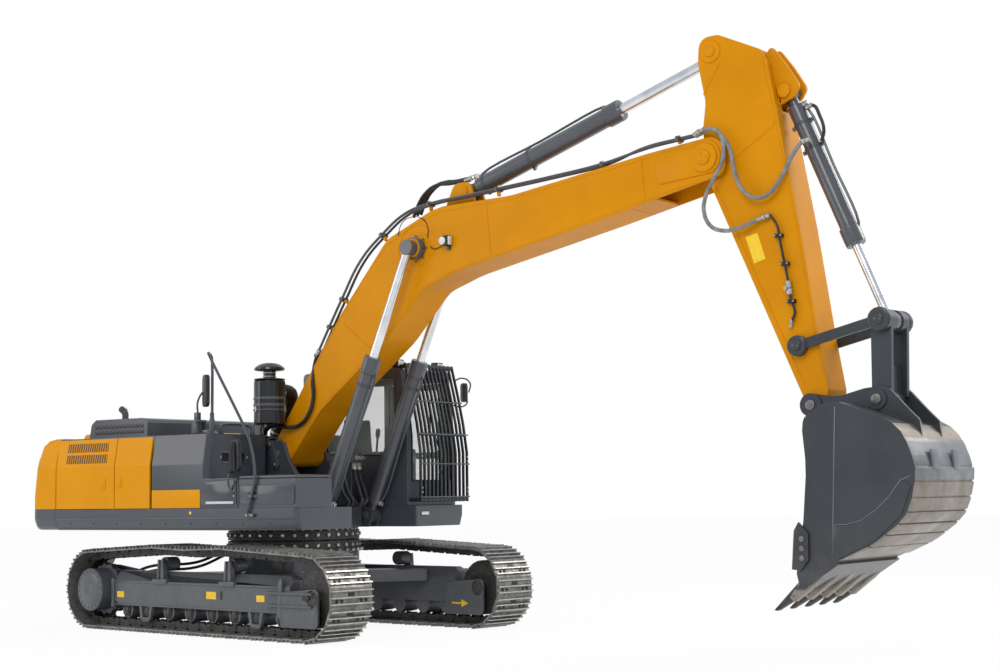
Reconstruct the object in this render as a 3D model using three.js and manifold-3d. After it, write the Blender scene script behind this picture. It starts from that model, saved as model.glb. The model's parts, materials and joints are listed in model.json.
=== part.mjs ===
// Crawler excavator, millimetres, +X along the boom, +Y to the cab side, +Z up.
// Everything is drawn about the swing axis, which meets the ground at 0, 0, 0. The undercarriage
// is drawn straight and then turned under the machine; the whole model is moved at the end so
// that its origin is the middle of its box, on the ground.
import * as THREE from 'three';
import { mergeVertices } from 'three/addons/utils/BufferGeometryUtils.js';
import Module from 'manifold-3d';

const wasm = await Module();
wasm.setup();

// ---------------------------------------------------------------- driving dimensions
const GAP = 0.3;            // between two pieces that touch
const RUN = 6;              // between a moving piece and its neighbour
const FIT = 2;              // round a pin that turns, on the radius
const SLIDE = 0.8;          // round a piston rod, and beside an eye on its pin
const PLATE = 30;           // folded and welded sheet of the housing

const TURN = -7;            // degrees the tracks stand turned under the machine
const TRACK = {
  half: 1295,               // middle of a track from the middle of the machine
  width: 600,               // shoe width
  wheelbase: 4030,          // idler axle to sprocket axle
  end: 478.5,               // axle height, and radius of the loop over its grousers
  shoe: 56, chain: 88, chainWidth: 210,
  rise: 92,                 // lift of the top run over the carrier rollers
  carriers: [-730, 540],    // where the carrier rollers stand
  shoes: 49, notch: 22,
  rollers: 8, rollerRadius: 108, carrierRadius: 85,
};
const FRAME = { half: 150, low: 300, high: 715, shoulder: 590, rear: -1680, front: 1620 };
const CARBODY = { half: 620, wide: 560, low: 500, high: 960 };
const RING = { radius: 800, bore: 600, low: 965, high: 1180 };

const DECK = { low: 1210, high: 1460, floor: 1300, rear: -2661.7, front: [1390, 1490], half: 1470 };
const HOUSE = {
  top: 2330, inner: 500,
  right: [-2650, -1585, -965],                                   // door edges, rear to front
  left: [-2650, -1500, -400],
};
const BALLAST = { front: -2662, side: -3110, rear: -3300, low: 1210, high: 2345 };
const HOOD = { rear: -2640, front: -1570, y: [-950, 1200], high: 2585, wall: 30, hinge: 10 };
const ENGINE = { x: [-2350, -1650], half: 540, high: 2280 };
const TANK = { inner: -500, front: 0, cap: [-290, -1300] };
const COVER = { front: -200, thick: 30 };
const TOOLBOX = { x: [500, 1390], inner: -880, high: 1790, lid: 30 };
const CLEANER = { x: 30, gap: 7, radius: 190, neck: 75, z: [2455, 3005], cap: [3110, 3200] };
const EXHAUST = { x: -2470, y: -500, radius: 42 };

const CAB = { x: [-330, 1350], y: [540, 1490], top: 3130, wall: 40, lean: 90 };
const DOOR = { x: [330, 1200], low: 1600, high: 2990 };
const GUARD = { x: 1560, low: 1500, high: 3190, knee: 2100, bars: 12, depth: 30, lean: 230 };

const FOOT = { x: 60, z: 2100, half: 330, pin: 60 };
const BOOM = { half: 265, plate: 28, fork: 600 };
CLEANER.y = -(BOOM.half + CLEANER.gap + CLEANER.radius);          // beside the boom
const ELBOW = { x: 5960, z: 5010, pin: 60 };                    // boom to arm
const ARM = { play: 22, plate: 24 };                            // play on each side, inside the boom's plates
ARM.half = BOOM.half - BOOM.plate - ARM.play;
const CROWN = { x: 6030, z: 6120 };                             // arm cylinder's rod on the arm
const TIP = { x: 7080, z: 2410, pin: 50 };                      // arm to bucket
const LINK = { x: 6950, z: 3000, pin: 45 };                     // side links on the arm
const KNEE = { x: 7820, z: 3205 };                              // side links, rod and H link
const HEEL = { x: 7770, z: 2440, pin: 45 };                     // H link on the bucket
const SADDLE = { x: 2720, z: 5040 };                            // arm cylinder on the boom
const PERCH = { x: 6815, z: 5610 };                             // bucket cylinder on the arm
const HIP = { x: 850, z: 1355 };                                // boom cylinders on the deck
const RIB = { x: 2180, z: 4410 };                               // boom cylinders on the boom

const LIFT = {
  side: 435, barrel: 88, rod: 52, body: 1990, eye: 90, width: 110, reserve: 350, basePin: 45,
};
const CROWD = {
  side: 0, barrel: 105, rod: 58, body: 2200, eye: 110, width: 150, reserve: 700, basePin: 50,
};
const CURL = {
  side: 0, barrel: 88, rod: 50, body: 1760, eye: 100, width: 120, reserve: 850, basePin: 45,
};

const BUCKET = { half: 720, plate: 30, shell: 28, teeth: 5 };

// ---------------------------------------------------------------- shapes
const yellow = { color: 0xe8a010, roughness: 0.45, metalness: 0.1 };
const grey = { color: 0x44484d, roughness: 0.55, metalness: 0.2 };
const black = { color: 0x1c1d1f, roughness: 0.5, metalness: 0.1 };
const steel = { color: 0x8b8a86, roughness: 0.5, metalness: 0.8 };
const chrome = { color: 0xd8dadd, roughness: 0.12, metalness: 1.0 };
const rubber = { color: 0x26272a, roughness: 0.8, metalness: 0.0 };

const group = new THREE.Group();
const lower = new THREE.Matrix4().makeRotationZ(THREE.MathUtils.degToRad(TURN));

// a closed solid from any closed three.js geometry
function solid(geometry) {
  const bare = new THREE.BufferGeometry();
  bare.setAttribute('position', geometry.attributes.position);
  if (geometry.index) bare.setIndex(geometry.index);
  const welded = mergeVertices(bare, 1e-3);
  return new wasm.Manifold(new wasm.Mesh({
    numProp: 3,
    vertProperties: Float32Array.from(welded.attributes.position.array),
    triVerts: Uint32Array.from(welded.index.array),
  }));
}

function add(name, shape, material, place) {
  const mesh = shape.getMesh();
  const geometry = new THREE.BufferGeometry();
  geometry.setAttribute('position', new THREE.BufferAttribute(mesh.vertProperties, 3));
  geometry.setIndex(new THREE.BufferAttribute(mesh.triVerts, 1));
  if (place) geometry.applyMatrix4(place);
  geometry.computeVertexNormals();
  const piece = new THREE.Mesh(geometry, new THREE.MeshStandardMaterial(material));
  piece.name = name;
  group.add(piece);
}

const join = (first, ...rest) => rest.reduce((sum, next) => sum.add(next), first);
const cut = (first, ...rest) => rest.reduce((sum, next) => sum.subtract(next), first);

function block([x0, x1], [y0, y1], [z0, z1]) {
  const box = new THREE.BoxGeometry(x1 - x0, y1 - y0, z1 - z0);
  return solid(box.translate((x0 + x1) / 2, (y0 + y1) / 2, (z0 + z1) / 2));
}

// corners [u, v, radius] to outline points, each rounded corner as an arc
function outline(corners, step = 0.42) {
  const points = [];
  corners.forEach(([u, v, radius = 0], i) => {
    const corner = new THREE.Vector2(u, v);
    const before = corners.at(i - 1);
    const after = corners[(i + 1) % corners.length];
    const a = new THREE.Vector2(before[0], before[1]).sub(corner);
    const b = new THREE.Vector2(after[0], after[1]).sub(corner);
    const half = Math.acos(THREE.MathUtils.clamp(a.dot(b) / (a.length() * b.length()), -1, 1)) / 2;
    if (radius <= 0 || half > 1.55) {
      points.push(corner);
      return;
    }
    const reach = Math.min(radius / Math.tan(half), 0.5 * a.length(), 0.5 * b.length());
    const start = a.clone().setLength(reach).add(corner);
    const stop = b.clone().setLength(reach).add(corner);
    const middle = a.normalize().add(b.normalize()).setLength(reach / Math.cos(half)).add(corner);
    const r = start.distanceTo(middle);
    const from = Math.atan2(start.y - middle.y, start.x - middle.x);
    let sweep = Math.atan2(stop.y - middle.y, stop.x - middle.x) - from;
    sweep -= 2 * Math.PI * Math.round(sweep / (2 * Math.PI));
    const steps = Math.max(1, Math.ceil(Math.abs(sweep) / step));
    for (let k = 0; k <= steps; k += 1) {
      const angle = from + (sweep * k) / steps;
      points.push(new THREE.Vector2(middle.x + r * Math.cos(angle), middle.y + r * Math.sin(angle)));
    }
  });
  return points;
}

// the same corners moved inwards by a distance
function inset(corners, distance) {
  const area = corners.reduce((sum, [u, v], i) => {
    const [u1, v1] = corners[(i + 1) % corners.length];
    return sum + u * v1 - u1 * v;
  }, 0);
  const side = Math.sign(area);
  return corners.map(([u, v, radius = 0], i) => {
    const [u0, v0] = corners.at(i - 1);
    const [u2, v2] = corners[(i + 1) % corners.length];
    const a = new THREE.Vector2(u - u0, v - v0).normalize();
    const b = new THREE.Vector2(u2 - u, v2 - v).normalize();
    const turn = side * (a.x * b.y - a.y * b.x);
    const normal = new THREE.Vector2(-(a.y + b.y), a.x + b.x).multiplyScalar(side);
    normal.setLength((2 * distance) / normal.length());
    return [u + normal.x, v + normal.y, Math.max(0, radius - Math.sign(turn) * distance)];
  });
}

function extrude(corners, depth, step) {
  const shape = new THREE.Shape(outline(corners, step));
  return new THREE.ExtrudeGeometry(shape, { depth, bevelEnabled: false });
}

// an outline in the side view (x, z), as thick as from y0 to y1
function plate(corners, [y0, y1], step) {
  return solid(extrude(corners, y1 - y0, step).rotateX(Math.PI / 2).translate(0, y1, 0));
}

// an outline in the plan view (x, y), from z0 to z1
function slab(corners, [z0, z1]) {
  return solid(extrude(corners, z1 - z0).translate(0, 0, z0));
}

// an outline in the front view (y, z), from x0 to x1
function panel(corners, [x0, x1]) {
  const turned = new THREE.Matrix4().makeBasis(
    new THREE.Vector3(0, 1, 0), new THREE.Vector3(0, 0, 1), new THREE.Vector3(1, 0, 0));
  return solid(extrude(corners, x1 - x0).applyMatrix4(turned).translate(x0, 0, 0));
}

const rectangle = ([u0, u1], [v0, v1], radius = 0) => [
  [u0, v0, radius], [u1, v0, radius], [u1, v1, radius], [u0, v1, radius]];

// a round bar from a to b
function bar(a, b, radius, end = radius, segments = 14) {
  const from = new THREE.Vector3(...a);
  const along = new THREE.Vector3(...b).sub(from);
  const shape = new THREE.CylinderGeometry(end, radius, along.length(), segments);
  const spin = new THREE.Quaternion().setFromUnitVectors(
    new THREE.Vector3(0, 1, 0), along.clone().normalize());
  shape.applyQuaternion(spin);
  return solid(shape.translate(from.x + along.x / 2, from.y + along.y / 2, from.z + along.z / 2));
}

const cross = ({ x, z }, [y0, y1], radius, segments = 14) =>
  bar([x, y0, z], [x, y1, z], radius, radius, segments);

// a bent round bar through a list of points
function pipe(points, radius, segments = 8) {
  const parts = points.slice(1).map((point, i) => bar(points[i], point, radius, radius, segments));
  const joints = points.slice(1, -1).map((point) => solid(
    new THREE.SphereGeometry(radius, segments, segments / 2).translate(...point)));
  return join(...parts, ...joints);
}

const both = (side, [y0, y1]) => (side > 0 ? [y0, y1] : [-y1, -y0]);

// ---------------------------------------------------------------- undercarriage
const axle = TRACK.wheelbase / 2;

// the outside of a track loop: flat below, round at the ends, lifted by the carrier rollers
function loopCorners() {
  const [rear, front] = TRACK.carriers;
  const top = 2 * TRACK.end;
  return [
    [-axle - TRACK.end, 0, TRACK.end], [axle + TRACK.end, 0, TRACK.end],
    [axle + TRACK.end, top, TRACK.end],
    [front, top + TRACK.rise, 900], [(rear + front) / 2, top + TRACK.rise - 22, 900],
    [rear, top + TRACK.rise, 900],
    [-axle - TRACK.end, top, TRACK.end],
  ];
}

// one shoe after another round the loop, with a notch between them
function shoeCorners() {
  const path = outline(loopCorners());
  path.push(path[0].clone());
  const lengths = [0];
  path.slice(1).forEach((point, i) => lengths.push(lengths[i] + point.distanceTo(path[i])));
  const pitch = lengths.at(-1) / TRACK.shoes;
  const at = (s, depth) => {
    const i = Math.max(1, lengths.findIndex((length) => length >= s - 1e-6));
    const along = path[i].clone().sub(path[i - 1]).normalize();
    const point = path[i - 1].clone().addScaledVector(along, s - lengths[i - 1]);
    return [point.x - along.y * depth, point.y + along.x * depth];
  };
  const corners = [];
  for (let shoe = 0; shoe < TRACK.shoes; shoe += 1) {
    const start = shoe * pitch;
    corners.push(at(start, TRACK.notch), at(start + 0.07 * pitch, 0), at(start + 0.93 * pitch, 0));
  }
  return corners;
}

function trackLoop(side) {
  const middle = side * TRACK.half;
  const shoes = [middle - TRACK.width / 2, middle + TRACK.width / 2];
  const chain = [middle - TRACK.chainWidth / 2, middle + TRACK.chainWidth / 2];
  const band = plate(shoeCorners(), shoes);
  const hollow = plate(inset(loopCorners(), TRACK.shoe), [shoes[0] - 10, shoes[1] + 10]);
  const links = plate(inset(loopCorners(), TRACK.shoe - 5), chain);
  const bore = plate(inset(loopCorners(), TRACK.shoe + TRACK.chain), [chain[0] - 10, chain[1] + 10]);
  return join(cut(band, hollow), cut(links, bore));
}

const wheelRadius = TRACK.end - TRACK.shoe - TRACK.chain - 12;
const runLow = TRACK.shoe + TRACK.chain;                       // top of the chain on the lower run
const runHigh = 2 * TRACK.end + TRACK.rise - runLow;           // under the chain on the top run

function idler(side) {
  const y = side * TRACK.half;
  const at = { x: axle, z: TRACK.end };
  return join(
    cross(at, [y - 85, y + 85], wheelRadius, 24),
    cross(at, [y - FRAME.half - 20, y + FRAME.half + 20], 90));
}

function sprocket(side) {
  const y = side * TRACK.half;
  const at = { x: -axle, z: TRACK.end };
  const teeth = [];
  const count = 15;
  for (let i = 0; i < count * 2; i += 1) {
    const angle = (i * Math.PI) / count;
    const r = i % 2 ? wheelRadius - 30 : wheelRadius;
    teeth.push([at.x + r * Math.cos(angle), at.z + r * Math.sin(angle)]);
  }
  return join(
    plate(teeth, [y - 45, y + 45]),
    cross(at, both(side, [TRACK.half - 20, TRACK.half + 265]), 255, 20),
    cross(at, both(side, [TRACK.half - 285, TRACK.half + 20]), 215, 20));
}

function carrier(side, x) {
  const y = side * TRACK.half;
  const at = { x, z: runHigh - TRACK.carrierRadius - 16 };
  return join(
    cross(at, [y - 80, y + 80], TRACK.carrierRadius),
    cross(at, both(side, [TRACK.half, TRACK.half + 140]), 40));
}

function trackFrame(side) {
  const y = side * TRACK.half;
  const beam = plate([
    [FRAME.rear, FRAME.low + 60], [FRAME.rear + 120, FRAME.low], [FRAME.front, FRAME.low],
    [FRAME.front, FRAME.high - 60], [FRAME.front - 90, FRAME.high], [FRAME.rear, FRAME.high],
  ], [y - FRAME.half, y + FRAME.half]);
  const section = panel([
    [y - FRAME.half, FRAME.low - 9], [y + FRAME.half, FRAME.low - 9],
    [y + FRAME.half, FRAME.shoulder], [y + 40, FRAME.high + 9],
    [y - 40, FRAME.high + 9], [y - FRAME.half, FRAME.shoulder]], [FRAME.rear - 9, FRAME.front + 9]);
  const parts = [];
  // the front forks hold the idler's axle
  for (const sign of [-1, 1]) {
    const skirt = both(sign, [FRAME.half - 1, FRAME.half + 30]).map((offset) => y + offset);
    parts.push(plate([
      [FRAME.front - 130, runLow + 10, 30], [axle + 100, runLow + 10, 60],
      [axle + 100, TRACK.end + 110, 60], [FRAME.front - 130, TRACK.end + 60]], skirt));
  }
  const inner = both(side, [TRACK.half - FRAME.half - 30, TRACK.half - FRAME.half + 1]);
  parts.push(plate([
    [FRAME.rear + 300, FRAME.low + 20], [FRAME.rear + 300, FRAME.high - 20],
    [-axle, TRACK.end + 290, 120], [-axle - 290, TRACK.end + 290, 200],
    [-axle - 290, TRACK.end - 250, 200], [-axle, TRACK.end - 290, 120]], inner));
  // bottom rollers hang in brackets under the beam
  const span = (FRAME.front - FRAME.rear - 420) / (TRACK.rollers - 1);
  for (let i = 0; i < TRACK.rollers; i += 1) {
    const at = { x: FRAME.rear + 260 + i * span, z: runLow + TRACK.rollerRadius + GAP };
    parts.push(cross(at, [y - 130, y + 130], TRACK.rollerRadius, 12));
  }
  // carrier rollers on their pedestals
  for (const x of TRACK.carriers) {
    parts.push(carrier(side, x));
    const stand = both(side, [TRACK.half + 95, TRACK.half + FRAME.half - 5]);
    parts.push(plate([
      [x - 75, FRAME.shoulder - 20], [x + 75, FRAME.shoulder - 20],
      [x + 45, runHigh - 60, 40], [x - 45, runHigh - 60, 40]], stand));
  }
  const clear = cross({ x: axle, z: TRACK.end }, [y - 86, y + 86], wheelRadius + GAP, 24);
  const shaft = cross({ x: axle, z: TRACK.end },
    [y - FRAME.half - 40, y + FRAME.half + 40], 90 + GAP);
  const drive = cross({ x: -axle, z: TRACK.end },
    [y - 400, y + 400], 215 + GAP, 20);
  return cut(join(beam.intersect(section), ...parts), clear, shaft, drive);
}

function carbody() {
  const inner = TRACK.half - FRAME.half - GAP;
  const middle = slab([
    [-CARBODY.half, -CARBODY.half, 200], [CARBODY.half, -CARBODY.half, 200],
    [CARBODY.half, CARBODY.half, 200], [-CARBODY.half, CARBODY.half, 200]],
  [CARBODY.low, CARBODY.high]);
  const legs = [];
  for (const sx of [-1, 1]) {
    for (const sy of [-1, 1]) {
      legs.push(slab([
        [sx * 150, sy * 380], [sx * 560, sy * 300], [sx * 1180, sy * (inner - 40)],
        [sx * 1180, sy * inner], [sx * 560, sy * inner]], [CARBODY.low + 40, FRAME.high - 30]));
    }
  }
  const seat = bar([0, 0, CARBODY.high - 60], [0, 0, RING.low - GAP], RING.radius - 60, RING.radius - 60, 24);
  const hole = bar([0, 0, CARBODY.low - 50], [0, 0, RING.low + 50], 330, 330, 16);
  return cut(join(middle, seat, ...legs), hole);
}

function slewRing() {
  const outer = bar([0, 0, RING.low], [0, 0, RING.high], RING.radius, RING.radius, 30);
  const bore = bar([0, 0, RING.low - 9], [0, 0, RING.high + 9], RING.bore, RING.bore, 30);
  const groove = cut(
    bar([0, 0, RING.low + 92], [0, 0, RING.low + 104], RING.radius + 9, RING.radius + 9, 30),
    bar([0, 0, RING.low + 80], [0, 0, RING.low + 120], RING.radius - 40, RING.radius - 40, 30));
  return cut(outer, bore, groove);
}

for (const [side, name] of [[-1, 'right'], [1, 'left']]) {
  add(`track_loop_${name}`, trackLoop(side), steel, lower);
  add(`track_frame_${name}`, trackFrame(side), grey, lower);
  add(`idler_${name}`, idler(side), grey, lower);
  add(`sprocket_${name}`, sprocket(side), grey, lower);
}
add('carbody', carbody(), grey, lower);
add('slew_ring', slewRing(), steel, lower);

// ---------------------------------------------------------------- revolving deck
function deck() {
  const { low, front: [right, left] } = DECK;
  const outer = slab([
    [DECK.rear, -DECK.half], [right, -DECK.half, 60], [right, -CAB.y[0] + 5],
    [HIP.x - 260, -CAB.y[0] + 5], [HIP.x - 260, CAB.y[0] - 5], [left, CAB.y[0] - 5, 20],
    [left, DECK.half, 40], [DECK.rear, DECK.half]], [low, DECK.high]);
  const pockets = [
    block([DECK.rear + 60, right - 90], [-DECK.half + 40, -640], [low - 9, DECK.high - 30]),
    block([DECK.rear + 60, left - 90], [640, DECK.half - 40], [low - 9, DECK.high - 30]),
    block([DECK.rear + 60, -900], [-560, 560], [DECK.floor, DECK.high + 9]),
  ];
  const nose = block([HIP.x - 300, HIP.x - 40], [-330, 330], [low, DECK.high]);
  // two tall plates carry the boom's foot, and the cylinders' feet stand in front of them
  const horns = [];
  for (const side of [-1, 1]) {
    horns.push(plate([
      [-700, DECK.high - 20], [HIP.x - 120, DECK.high - 20], [FOOT.x + 190, FOOT.z - 60, 60],
      [FOOT.x + 120, FOOT.z + 160, 90], [FOOT.x - 160, FOOT.z + 160, 90]],
    both(side, [FOOT.half + SLIDE, FOOT.half + SLIDE + 50])));
  }
  const ears = [];
  for (const side of [-1, 1]) {
    for (const flank of [-1, 1]) {
      const face = side * LIFT.side + flank * (LIFT.width / 2 + SLIDE);
      const far = face + flank * 32;
      ears.push(plate([
        [HIP.x - 300, low], [HIP.x + 40, low], [HIP.x + 105, HIP.z - 60, 60],
        [HIP.x + 90, HIP.z + 95, 90], [HIP.x - 90, HIP.z + 95, 90],
        [HIP.x - 300, DECK.high]], [Math.min(face, far), Math.max(face, far)]));
    }
  }
  const bearing = bar([0, 0, RING.high + GAP], [0, 0, low + 20], RING.radius - 80, RING.radius - 80, 24);
  const footBore = cross(FOOT, [-900, 900], FOOT.pin + GAP);
  const hipBore = cross(HIP, [-900, 900], LIFT.basePin + GAP);
  return cut(join(cut(outer, ...pockets), nose, bearing, ...horns, ...ears), footBore, hipBore);
}

// a convex casting: thin slices of its plan, drawn in at the bottom edge and round the top
function ballast() {
  const slice = (z, back, flank) => slab([
    [BALLAST.front, -DECK.half + flank], [BALLAST.front, DECK.half - flank],
    [BALLAST.side + back, DECK.half - flank, 140], [BALLAST.rear + back, DECK.half * 0.45, 900],
    [BALLAST.rear + back, -DECK.half * 0.45, 900], [BALLAST.side + back, -DECK.half + flank, 140],
  ], [z, z + 1]);
  return wasm.Manifold.hull([
    slice(BALLAST.low, 25, 20), slice(BALLAST.low + 40, 0, 0), slice(BALLAST.low + 430, 0, 0),
    slice(BALLAST.high - 250, 55, 5), slice(BALLAST.high - 90, 120, 30),
    slice(BALLAST.high - 25, 190, 70), slice(BALLAST.high - 1, 290, 130)]);
}

// doors hang on an upright hinge post, at their front edge on the right and rear edge on the left
function sideDoor(side, [x0, x1], louvres) {
  const y = side * DECK.half;
  const skin = [y, y - side * PLATE].sort((a, b) => a - b);
  const low = DECK.high + RUN;
  const high = HOUSE.top - RUN;
  let door = block([x0 + RUN, x1 - RUN], skin, [low, high]);
  const post = side < 0 ? x1 - RUN - 14 : x0 + RUN + 14;
  door = join(door, bar([post, y - side * 14, DECK.high + GAP], [post, y - side * 14, high - 60], 14, 14, 12));
  const slots = [];
  for (const row of louvres) {
    slots.push(block([x0 + 190, x1 - 150], [y - 60, y + 60], [high - row - 100, high - row]));
  }
  return cut(door, ...slots);
}

// bulkheads and a top round the engine bay, and a box behind the cab
function housing() {
  const rear = HOUSE.right[0] + 20;
  const front = HOUSE.right[2] + 30;
  const left = HOUSE.left[2] + 30;
  const inside = DECK.half - PLATE - RUN - 20;
  const tall = [DECK.high + GAP, HOUSE.top];
  const post = (side, x) => block([x - 20, x + 20], both(side, [inside - 80, inside]), tall);
  const bay = block([HOOD.rear + 60, HOOD.front - 60], [HOOD.y[0] + 60, HOOD.y[1] - 60],
    [HOUSE.top - 60, HOUSE.top + 9]);
  return cut(join(
    block([rear, front], [-inside, inside], [HOUSE.top - PLATE, HOUSE.top]),
    block([rear, rear + PLATE], [-inside, inside], tall),
    block([front - PLATE, front], [-inside, inside], tall),
    post(-1, HOUSE.right[1]), post(1, HOUSE.left[1]),
    block([front - 1, left], [HOUSE.inner, inside], [HOUSE.top - PLATE, HOUSE.top]),
    block([front - 1, left], [HOUSE.inner, HOUSE.inner + PLATE], tall),
    block([left - PLATE, left], [HOUSE.inner, inside], tall)), bay);
}

// the hood turns on a rod along the foot of its front face
function hood() {
  const low = HOUSE.top + RUN;
  const [right, left] = HOOD.y;
  const corners = [
    [HOOD.rear, low], [HOOD.front, low], [HOOD.front, HOOD.high - 20, 60],
    [HOOD.front - 90, HOOD.high, 200], [HOOD.rear + 120, HOOD.high, 60],
    [HOOD.rear + 40, HOOD.high - 60, 60]];
  const inner = inset(corners, HOOD.wall);
  inner[0] = [HOOD.rear + HOOD.wall, low - 50];
  inner[1] = [HOOD.front - HOOD.wall, low - 50];
  const axis = { x: HOOD.front + HOOD.hinge - 2, z: HOUSE.top + HOOD.hinge + GAP };
  return join(
    cut(plate(corners, HOOD.y), plate(inner, [right + HOOD.wall, left - HOOD.wall])),
    cross(axis, [right + 80, left - 80], HOOD.hinge, 12));
}

// a flat lid over the valves between the housing and the boom's foot
function frontCover() {
  const rear = HOUSE.right[2] + 30 + GAP;
  return block([rear, COVER.front], [TANK.inner + GAP, HOUSE.inner - GAP],
    [HOUSE.top - COVER.thick, HOUSE.top]);
}

// the tall part ends behind the step, and its foot runs out to the tool box
function fuelTank() {
  const rear = HOUSE.right[2] + 30 + GAP;
  const { front, inner, cap } = TANK;
  const half = DECK.half;
  const low = DECK.high + GAP;
  const split = TOOLBOX.x[0] - RUN;
  const tall = slab([[rear, -half], [front - 60, -half, 60], [front, -half + 60, 60], [front, inner],
    [rear, inner]], [low, HOUSE.top]);
  const foot = plate([[front - 110, low], [split, low], [split, TOOLBOX.high + 15, 15],
    [front - 110, TOOLBOX.high + 15]], [-half, inner]);
  const room = block([rear + 60, front - 150], [-half + 100, inner - 60], [low + 60, HOUSE.top - 60]);
  const step = block([front - 110, front + 9], [-1230, -850], [1995, 2110]);
  const filler = bar([...cap, HOUSE.top - 70], [...cap, HOUSE.top + 9], 32);
  return cut(join(tall, foot), room, step, filler);
}

function fuelCap() {
  return bar([...TANK.cap, HOUSE.top + GAP], [...TANK.cap, HOUSE.top + 140], 60);
}

function toolBox() {
  const [x0, x1] = TOOLBOX.x;
  const body = block([x0, x1], [-DECK.half, TOOLBOX.inner], [DECK.high + GAP, TOOLBOX.high]);
  const room = block([x0 + 25, x1 - 25], [-DECK.half + 25, TOOLBOX.inner - 25],
    [DECK.high + 25, TOOLBOX.high + 9]);
  return cut(body, room);
}

function toolBoxLid() {
  const [x0, x1] = TOOLBOX.x;
  const z = TOOLBOX.high + RUN;
  return join(
    block([x0 + 2, x1 - 2], [-DECK.half + 2, TOOLBOX.inner - 2], [z, z + TOOLBOX.lid]),
    bar([x0 + 60, TOOLBOX.inner - 12, TOOLBOX.high + 12 + GAP],
      [x1 - 60, TOOLBOX.inner - 12, TOOLBOX.high + 12 + GAP], 12, 12, 12));
}

function exhaust() {
  const { x, y, radius } = EXHAUST;
  const low = HOOD.high + GAP;
  const bore = bar([x - 62, y, low + 138], [x - 130, y, low + 190], radius - 8, radius - 8, 12);
  return cut(pipe([[x, y, low], [x, y, low + 85], [x - 25, y, low + 125], [x - 80, y, low + 160]],
    radius, 12), bore);
}

// a canister on a bracket, with a rain cap on a narrow neck
function airCleaner() {
  const { x, y, radius, neck, z: [low, high], cap: [brim, top] } = CLEANER;
  const profile = [
    [0, low], [radius - 15, low], [radius, low + 15], [radius, high - 30], [radius - 40, high],
    [neck, high + 15], [neck, brim - 5], [radius - 20, brim], [radius - 15, brim + 20],
    [radius * 0.6, top - 15], [0, top]].map(([u, v]) => new THREE.Vector2(u, v));
  const canister = solid(new THREE.LatheGeometry(profile, 20).rotateX(Math.PI / 2).translate(x, y, 0));
  return join(canister, block([x - 200, x - 40], [y - 60, TANK.inner - 20], [HOUSE.top + GAP, low + 5]));
}

// ---------------------------------------------------------------- cab
function cabShell() {
  const [x0, x1] = CAB.x;
  const [y0, y1] = CAB.y;
  const low = DECK.high + GAP;
  const side = [[x0, low], [x1, low], [x1, 1750], [x1, 2300, 300], [x1 - CAB.lean, CAB.top, 60],
    [x0, CAB.top, 60]];
  const shell = plate(side, [y0, y1]);
  const inner = inset(side, CAB.wall);
  inner[0] = [x0 + CAB.wall, low + 50];
  inner[1] = [x1 - CAB.wall, low + 50];
  const room = plate(inner, [y0 + CAB.wall, y1 - CAB.wall]);
  const frontWindow = block([x1 - 200, x1 + 99], [y0 + 90, y1 - 90], [1760, CAB.top - 110]);
  const rightWindow = block([x0 + 120, x1 - 190], [y0 - 99, y0 + 99], [2080, CAB.top - 110]);
  const rearWindow = block([x0 - 99, x0 + 99], [y0 + 110, y1 - 110], [2360, CAB.top - 110]);
  const doorway = plate(rectangle(DOOR.x, [DOOR.low, DOOR.high], 50), [y1 - 99, y1 + 99]);
  const sideWindow = block([x0 + 120, DOOR.x[0] - 90], [y1 - 99, y1 + 99], [2150, CAB.top - 140]);
  const hatch = block([x0 + 300, x1 - 500], [y0 + 200, y1 - 200], [CAB.top - 99, CAB.top + 99]);
  return cut(shell, room, frontWindow, rightWindow, rearWindow, doorway, sideWindow, hatch);
}

function cabDoor() {
  const y = CAB.y[1];
  const corners = rectangle([DOOR.x[0] + RUN, DOOR.x[1] - RUN], [DOOR.low + RUN, DOOR.high - RUN], 44);
  const leaf = plate(corners, [y - 34, y + 6]);
  const glass = plate(rectangle([DOOR.x[0] + 90, DOOR.x[1] - 90], [2120, DOOR.high - 90], 30), [y - 99, y + 99]);
  const lowGlass = plate(rectangle([DOOR.x[0] + 90, DOOR.x[1] - 90], [1720, 2040], 30), [y - 99, y + 99]);
  const hinges = [1760, 2820].map((z) => join(
    bar([DOOR.x[0] - 6, y + 16 + GAP, z - 60], [DOOR.x[0] - 6, y + 16 + GAP, z + 60], 16, 16, 12),
    block([DOOR.x[0] - 6, DOOR.x[0] + 70], [y + 2, y + 24], [z - 50, z + 50])));
  return join(cut(leaf, glass, lowGlass), ...hinges);
}

function cabRoof() {
  const [x0, x1] = CAB.x;
  const [y0, y1] = CAB.y;
  return block([x0 + 200, x1 - 400], [y0 + 100, y1 - 100], [CAB.top + GAP, CAB.top + 45]);
}

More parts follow.
